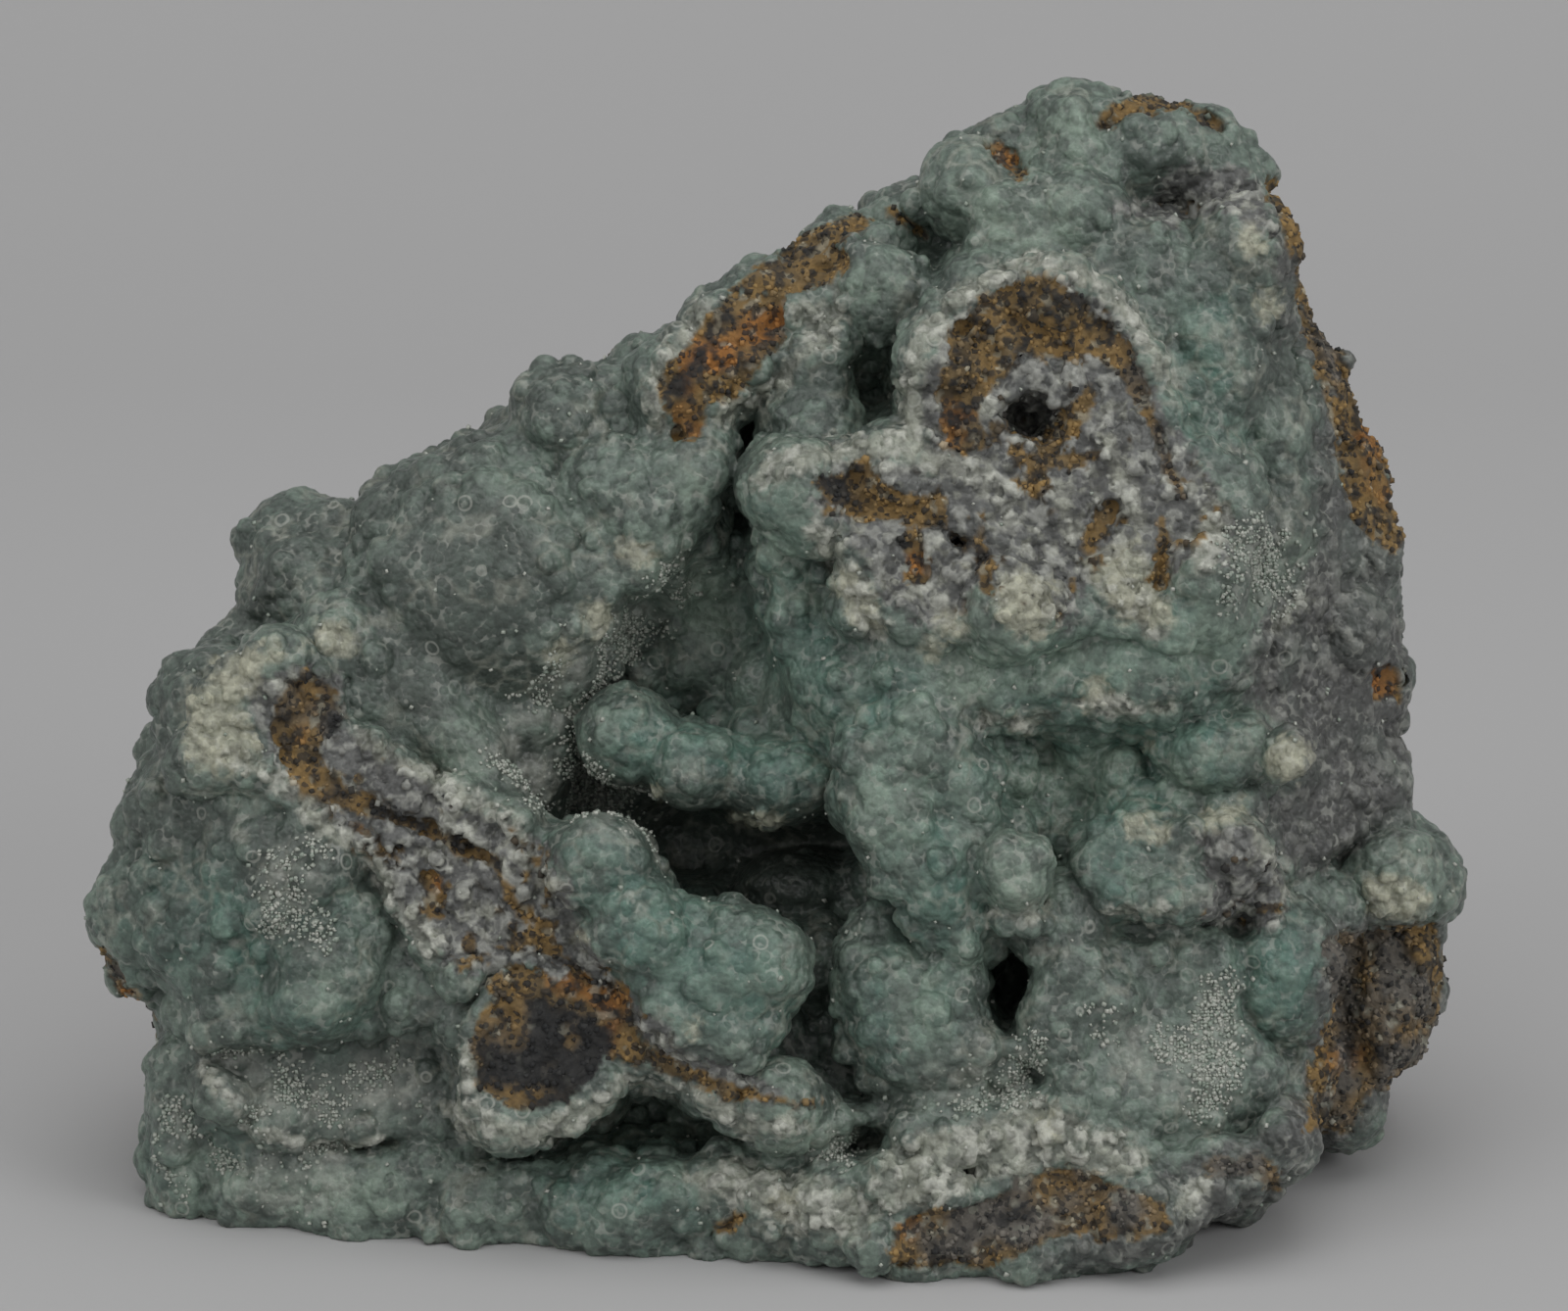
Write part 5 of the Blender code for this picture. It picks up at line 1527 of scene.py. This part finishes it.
def add_patch(name, faces, rock, channels, material):
    """One named part of the skin, with the shading of the whole skin kept at its edges."""
    used, index = np.unique(faces, return_inverse=True)
    mesh = mesh_from(name, to_world(rock["points"][used]), index.reshape(-1, 3), 3)
    mesh.shade_smooth()
    add_colour(mesh, "tint", rock["tint"][used])
    add_colour(mesh, "finish", channels[used])
    normals = turned_to_world(rock["normals"][used])
    mesh.normals_split_custom_set_from_vertices(normals.astype(np.float32))
    obj = add_piece(name, mesh, material)
    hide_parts(NODE)


def above_table(points):
    """Points with those under the table lifted onto it."""
    lift = np.maximum(-height(points[:, 1], points[:, 2]), 0.0)
    return points + lift[:, None] * np.array((0.0, TO_TOP[2], TO_VIEWER[2]))


def random_turns(count, rng):
    """Random rotation matrices."""
    spin = unit_length(rng.normal(size=(count, 4)))
    w, x, y, z = spin.T
    rows = np.stack((1 - 2 * (y * y + z * z), 2 * (x * y - w * z), 2 * (x * z + w * y),
                     2 * (x * y + w * z), 1 - 2 * (x * x + z * z), 2 * (y * z - w * x),
                     2 * (x * z - w * y), 2 * (y * z + w * x), 1 - 2 * (x * x + y * y)), 1)
    return rows.reshape(count, 3, 3)


def add_crumbs(name, centres, sizes, tint, slant, seed, material):
    """Many small slanted blocks joined in one piece, such as crystals or grains."""
    rng = np.random.default_rng(seed)
    shape = CUBE_POINTS.copy()
    shape[:, 0] += slant * shape[:, 1]
    turns = random_turns(len(centres), rng)
    stretch = rng.uniform(0.6, 1.0, (len(centres), 1, 3))
    points = shape[None] * stretch + rng.uniform(-0.12, 0.12, (len(centres), 8, 3))
    points = np.einsum("nij,nkj->nki", turns, points) * (sizes[:, None, None] * 0.5)
    points = (points + centres[:, None]).reshape(-1, 3)
    faces = (CUBE_FACES[None] + 8 * np.arange(len(centres))[:, None, None]).reshape(-1, 4)
    mesh = mesh_from(name, to_world(points), faces, 4)
    add_colour(mesh, "tint", np.repeat(tint, 8, 0))
    add_piece(name, mesh, material)


ROCK = {}


def skin_data(shape, look):
    """The finished skin and its paint, worked out once and shared by the operators."""
    if not ROCK:
        maps = {name: FrontMap(zone) for name, (zone, _) in ZONES.items()}
        field, smooth = fitted_rock(shape.swelling, maps)
        points, quads = field.skin()
        keep = front_share(points, field.slope(points))
        points, faces = thinned(points, quads, shape.triangles, keep)
        normals = vertex_normals(points, faces)
        cells = {name: cells_at(points, size, seed) for name, (size, seed) in CELLS.items()}
        finish = paint(points, normals, maps, cells["grit"][2])
        points = above_table(points + normals * relief_of(points, finish, cells)[:, None])
        normals = vertex_normals(points, faces)
        clear = openness(field, points, normals)
        tint = colour_of(points, finish, cells, smooth.at(points), clear, look)
        ROCK.update(points=points, faces=faces, normals=normals, finish=finish, tint=tint)
    return ROCK


def drawn_places(rock, wish, count, rng):
    """Points of the skin drawn by how much each is wished for, none of them near the table."""
    points = rock["points"]
    wish = wish * (height(points[:, 1], points[:, 2]) > CRUMB_HEIGHT)
    return rng.choice(len(wish), count, replace=False, p=wish / wish.sum())


def colour_property(label, description, default):
    return FloatVectorProperty(name=label, description=description, subtype="COLOR", size=3,
                               min=0.0, max=1.0, default=default)


def share_property(label, description, default, low=0.0, high=1.0):
    return FloatProperty(name=label, description=description, subtype="FACTOR", min=low, max=high,
                         default=default)


def length_property(label, description, default, low, high):
    return FloatProperty(name=label, description=description, subtype="DISTANCE", unit="LENGTH",
                         min=low, max=high, default=default)


def count_property(label, description, default, low, high):
    return IntProperty(name=label, description=description, min=low, max=high, default=default)


class SpecimenShape(bpy.types.PropertyGroup):
    """Sizes of the crust."""

    swelling: share_property("Swelling", "Size of the rounded swellings of the crust, as a share "
                             "of their usual size", 1.0, 0.5, 1.6)
    triangles: count_property("Triangles", "How many triangles the rock's skin has",
                              760000, 50000, 900000)
    crystals: count_property("Crystals", "How many drusy crystals stand on the skin",
                             5200, 0, 16000)
    crystal_size: length_property("Crystal size", "Usual width of a drusy crystal",
                                  0.00032, 0.0001, 0.002)
    grains: count_property("Gangue grains", "How many loose-looking grains the gangue has",
                           3000, 0, 12000)
    grain_size: length_property("Grain size", "Usual width of a grain of gangue",
                                0.0005, 0.0002, 0.003)


class SpecimenLook(bpy.types.PropertyGroup):
    """Colours of the stone."""

    crust: colour_property("Crust", "Usual blue-green of the crust", (0.140, 0.184, 0.156))
    deep_crust: colour_property("Deep crust", "Darker grey-green of the crust",
                                (0.086, 0.110, 0.095))
    green: colour_property("Green", "Clearest green of the crust", (0.080, 0.175, 0.142))
    # Also laid on places in shade as painted shade
    grey: colour_property("Grey", "Grey of the thin crust", (0.056, 0.066, 0.058))
    # Also laid on the swellings' raised tops as a painted highlight, and on faces that get less
    # light as painted light
    pale: colour_property("Pale", "Pale green of the swellings' tops", (0.225, 0.290, 0.235))
    broken: colour_property("Broken", "Grey-violet of the broken faces", (0.112, 0.113, 0.110))
    rim: colour_property("Rim", "Broken, sugary edge of the crust", (0.33, 0.34, 0.285))
    cream: colour_property("Cream", "Yellowish white lumps", (0.40, 0.40, 0.31))
    frost: colour_property("Frost", "White of the frosted faces", (0.50, 0.51, 0.46))
    ochre: colour_property("Ochre", "Ochre gangue", (0.225, 0.145, 0.055))
    brown: colour_property("Brown", "Brown gangue", (0.120, 0.090, 0.050))
    orange: colour_property("Orange", "Rusty patches", (0.29, 0.12, 0.028))
    umber: colour_property("Umber", "Grey-brown rock under the gangue", (0.125, 0.118, 0.106))
    black: colour_property("Black", "Black specks and patches", (0.02, 0.021, 0.022))
    gloss: share_property("Roughness", "Roughness of the crust, low for a wet gloss", 0.34, 0.05)
    glow: share_property("Glow", "How much light the crust lets through, as a share", 0.16)
    # Painted shade: how much the colour is darkened in the stone's hollows
    hollow_shade: share_property("Crevice", "How much darker the stone is in its hollows", 0.06)


class SpecimenStage(bpy.types.PropertyGroup):
    """The paper that the specimen stands on, and its light."""

    paper: colour_property("Paper", "Colour of the paper sweep", (0.49, 0.49, 0.495))
    light: share_property("Light", "Brightness of the studio light, as a share of the usual",
                          1.0, 0.0, 5.0)


class SPECIMEN_OT_skin(bpy.types.Operator):
    """Builds the rock's skin: crust, broken rims and gangue"""

    bl_idname = "specimen.skin"
    bl_label = "Rock skin"

    def execute(self, context):
        look = context.scene.specimen_look
        ROCK.clear()
        rock = skin_data(context.scene.specimen_shape, look)
        material = stone_material(look)
        finish = rock["finish"]
        sugar = unit(finish["rim"] + finish["cream"])
        channels = np.stack((finish["gangue"], finish["frost"], sugar), 1)
        part = skin_parts(rock["points"], rock["faces"])
        for turn, name in enumerate(PARTS):
            faces = rock["faces"][part == turn]
            if not 0 < len(faces) < MOST_TRIANGLES:
                raise RuntimeError(f"{name} has {len(faces)} triangles")
            add_patch(name, faces, rock, channels, material)
        return {"FINISHED"}


class SPECIMEN_OT_crystals(bpy.types.Operator):
    """Sets small drusy crystals on the frosted parts of the crust"""

    bl_idname = "specimen.crystals"
    bl_label = "Drusy crystals"

    def execute(self, context):
        shape, look = context.scene.specimen_shape, context.scene.specimen_look
        rock = skin_data(shape, look)
        points, normals, finish = rock["points"], rock["normals"], rock["finish"]
        rng = np.random.default_rng(101)
        clusters = unit(point_noise(points, size=4.0, seed=103) * 2.0 + 0.4)
        wish = (0.0015 + finish["frost"] * clusters) * front_share(points, normals)
        chosen = drawn_places(rock, wish * (1.0 - finish["gangue"]), shape.crystals, rng)
        sizes = shape.crystal_size / MM * rng.uniform(0.6, 1.5, len(chosen))
        centres = points[chosen] + normals[chosen] * (sizes * 0.15)[:, None]
        paleness = rng.uniform(0.0, 0.8, len(chosen))
        tint = mix(plain(look.frost, len(chosen)), look.pale, paleness)
        material = crumb_material("smithsonite_drusy", roughness=0.12, ior=1.65)
        add_crumbs("drusy_crystals", centres, sizes, tint, slant=0.35, seed=102,
                   material=material)
        return {"FINISHED"}


class SPECIMEN_OT_grains(bpy.types.Operator):
    """Strews ochre and black grains over the broken gangue"""

    bl_idname = "specimen.grains"
    bl_label = "Gangue grains"

    def execute(self, context):
        shape, look = context.scene.specimen_shape, context.scene.specimen_look
        rock = skin_data(shape, look)
        points, normals, finish = rock["points"], rock["normals"], rock["finish"]
        rng = np.random.default_rng(111)
        wish = finish["gangue"] * (0.15 + front_share(points, normals))
        chosen = drawn_places(rock, wish, shape.grains, rng)
        sizes = shape.grain_size / MM * rng.uniform(0.5, 1.4, len(chosen))
        centres = points[chosen] - normals[chosen] * (sizes * 0.1)[:, None]
        dark = rng.random(len(chosen)) < 0.3 + 0.5 * finish["black"][chosen]
        tint = mix(rock["tint"][chosen] * 1.5, look.black, dark.astype(np.float32) * 0.9)
        material = crumb_material("smithsonite_gangue", roughness=0.88, ior=1.5)
        add_crumbs("gangue_grains", centres, sizes, tint, slant=0.1, seed=112,
                   material=material)
        return {"FINISHED"}


def add_paper(colour):
    """A sheet of paper that lies flat and curves up behind the specimen."""
    profile = [(PAPER_FRONT, 0.0), (PAPER_BEND_AT, 0.0)]
    for step in range(1, PAPER_BEND_STEPS + 1):
        turn = math.pi / 2 * step / PAPER_BEND_STEPS
        profile.append((PAPER_BEND_AT + PAPER_BEND * math.sin(turn),
                        PAPER_BEND * (1 - math.cos(turn))))
    profile.append((PAPER_BEND_AT + PAPER_BEND, PAPER_TOP))
    sides = (-PAPER_HALF_WIDTH, PAPER_HALF_WIDTH)
    points = np.array([(x, y, z) for y, z in profile for x in sides])
    faces = np.array([(i, i + 1, i + 3, i + 2) for i in range(0, 2 * len(profile) - 2, 2)])
    mesh = mesh_from("paper_sweep", points, faces, 4)
    mesh.shade_smooth()
    material = bpy.data.materials.new("paper")
    material.use_nodes = True
    shader = material.node_tree.nodes["Principled BSDF"]
    shader.inputs["Base Color"].default_value = rgba(colour)
    shader.inputs["Roughness"].default_value = 0.9
    shader.inputs["Specular IOR Level"].default_value = 0.1
    mesh.materials.append(material)
    paper = bpy.data.objects.new("paper_sweep", mesh)
    bpy.context.scene.collection.objects.link(paper)


def add_light(name, place, width, power):
    lamp = bpy.data.lights.new(name, "AREA")
    lamp.size = width
    lamp.energy = power
    light = bpy.data.objects.new(name, lamp)
    light.location = place
    towards = Vector(LIT_PLACE) - Vector(place)
    light.rotation_euler = towards.to_track_quat("-Z", "Y").to_euler()
    bpy.context.scene.collection.objects.link(light)


def add_camera():
    """The camera at the front view's own angle and distance."""
    lens = bpy.data.cameras.new("front_view")
    lens.sensor_width = 36.0
    lens.lens = lens.sensor_width * VIEW_DISTANCE / PICTURE_WIDTH
    lens.clip_start = 0.01
    lens.clip_end = 20.0
    camera = bpy.data.objects.new("front_view", lens)
    camera.location = Vector(AIM) * MM + Vector(TO_VIEWER) * (VIEW_DISTANCE * MM)
    camera.rotation_euler = (math.pi / 2 - VIEW_TILT, 0.0, 0.0)
    bpy.context.scene.collection.objects.link(camera)
    bpy.context.scene.camera = camera


class SPECIMEN_OT_stage(bpy.types.Operator):
    """Lays the paper sweep and sets the soft lights and the camera"""

    bl_idname = "specimen.stage"
    bl_label = "Stage"

    def execute(self, context):
        scene = context.scene
        stage = scene.specimen_stage
        add_paper(stage.paper)
        for name, (place, width, power) in LIGHTS.items():
            add_light(name, place, width, power * stage.light)
        world = bpy.data.worlds.new("studio")
        world.use_nodes = True
        background = world.node_tree.nodes["Background"]
        background.inputs["Color"].default_value = (1.0, 0.995, 0.98, 1.0)
        background.inputs["Strength"].default_value = 0.45
        scene.world = world
        scene.view_settings.view_transform = "Standard"
        add_camera()
        return {"FINISHED"}


class SPECIMEN_PT_panel(bpy.types.Panel):
    """Lists the specimen's settings and operators"""

    bl_label = "Smithsonite specimen"
    bl_idname = "SPECIMEN_PT_panel"
    bl_space_type = "VIEW_3D"
    bl_region_type = "UI"
    bl_category = "Specimen"

    def draw(self, context):
        for group in GROUPS:
            box = self.layout.box()
            settings = getattr(context.scene, group)
            for name in settings.__annotations__:
                box.prop(settings, name)
        for operator in OPERATORS:
            self.layout.operator(operator.bl_idname)


OPERATORS = (SPECIMEN_OT_skin, SPECIMEN_OT_crystals, SPECIMEN_OT_grains, SPECIMEN_OT_stage)
GROUPS = {
    "specimen_shape": SpecimenShape,
    "specimen_look": SpecimenLook,
    "specimen_stage": SpecimenStage,
}


def register():
    for name, group in GROUPS.items():
        bpy.utils.register_class(group)
        setattr(bpy.types.Scene, name, PointerProperty(type=group))
    for kind in (*OPERATORS, SPECIMEN_PT_panel):
        bpy.utils.register_class(kind)


def unregister():
    for kind in reversed((*OPERATORS, SPECIMEN_PT_panel)):
        bpy.utils.unregister_class(kind)
    for name, group in GROUPS.items():
        delattr(bpy.types.Scene, name)
        bpy.utils.unregister_class(group)


def main():
    register()
    for run in (bpy.ops.specimen.skin, bpy.ops.specimen.crystals, bpy.ops.specimen.grains,
                bpy.ops.specimen.stage):
        run()


if __name__ == "__main__":
    main()
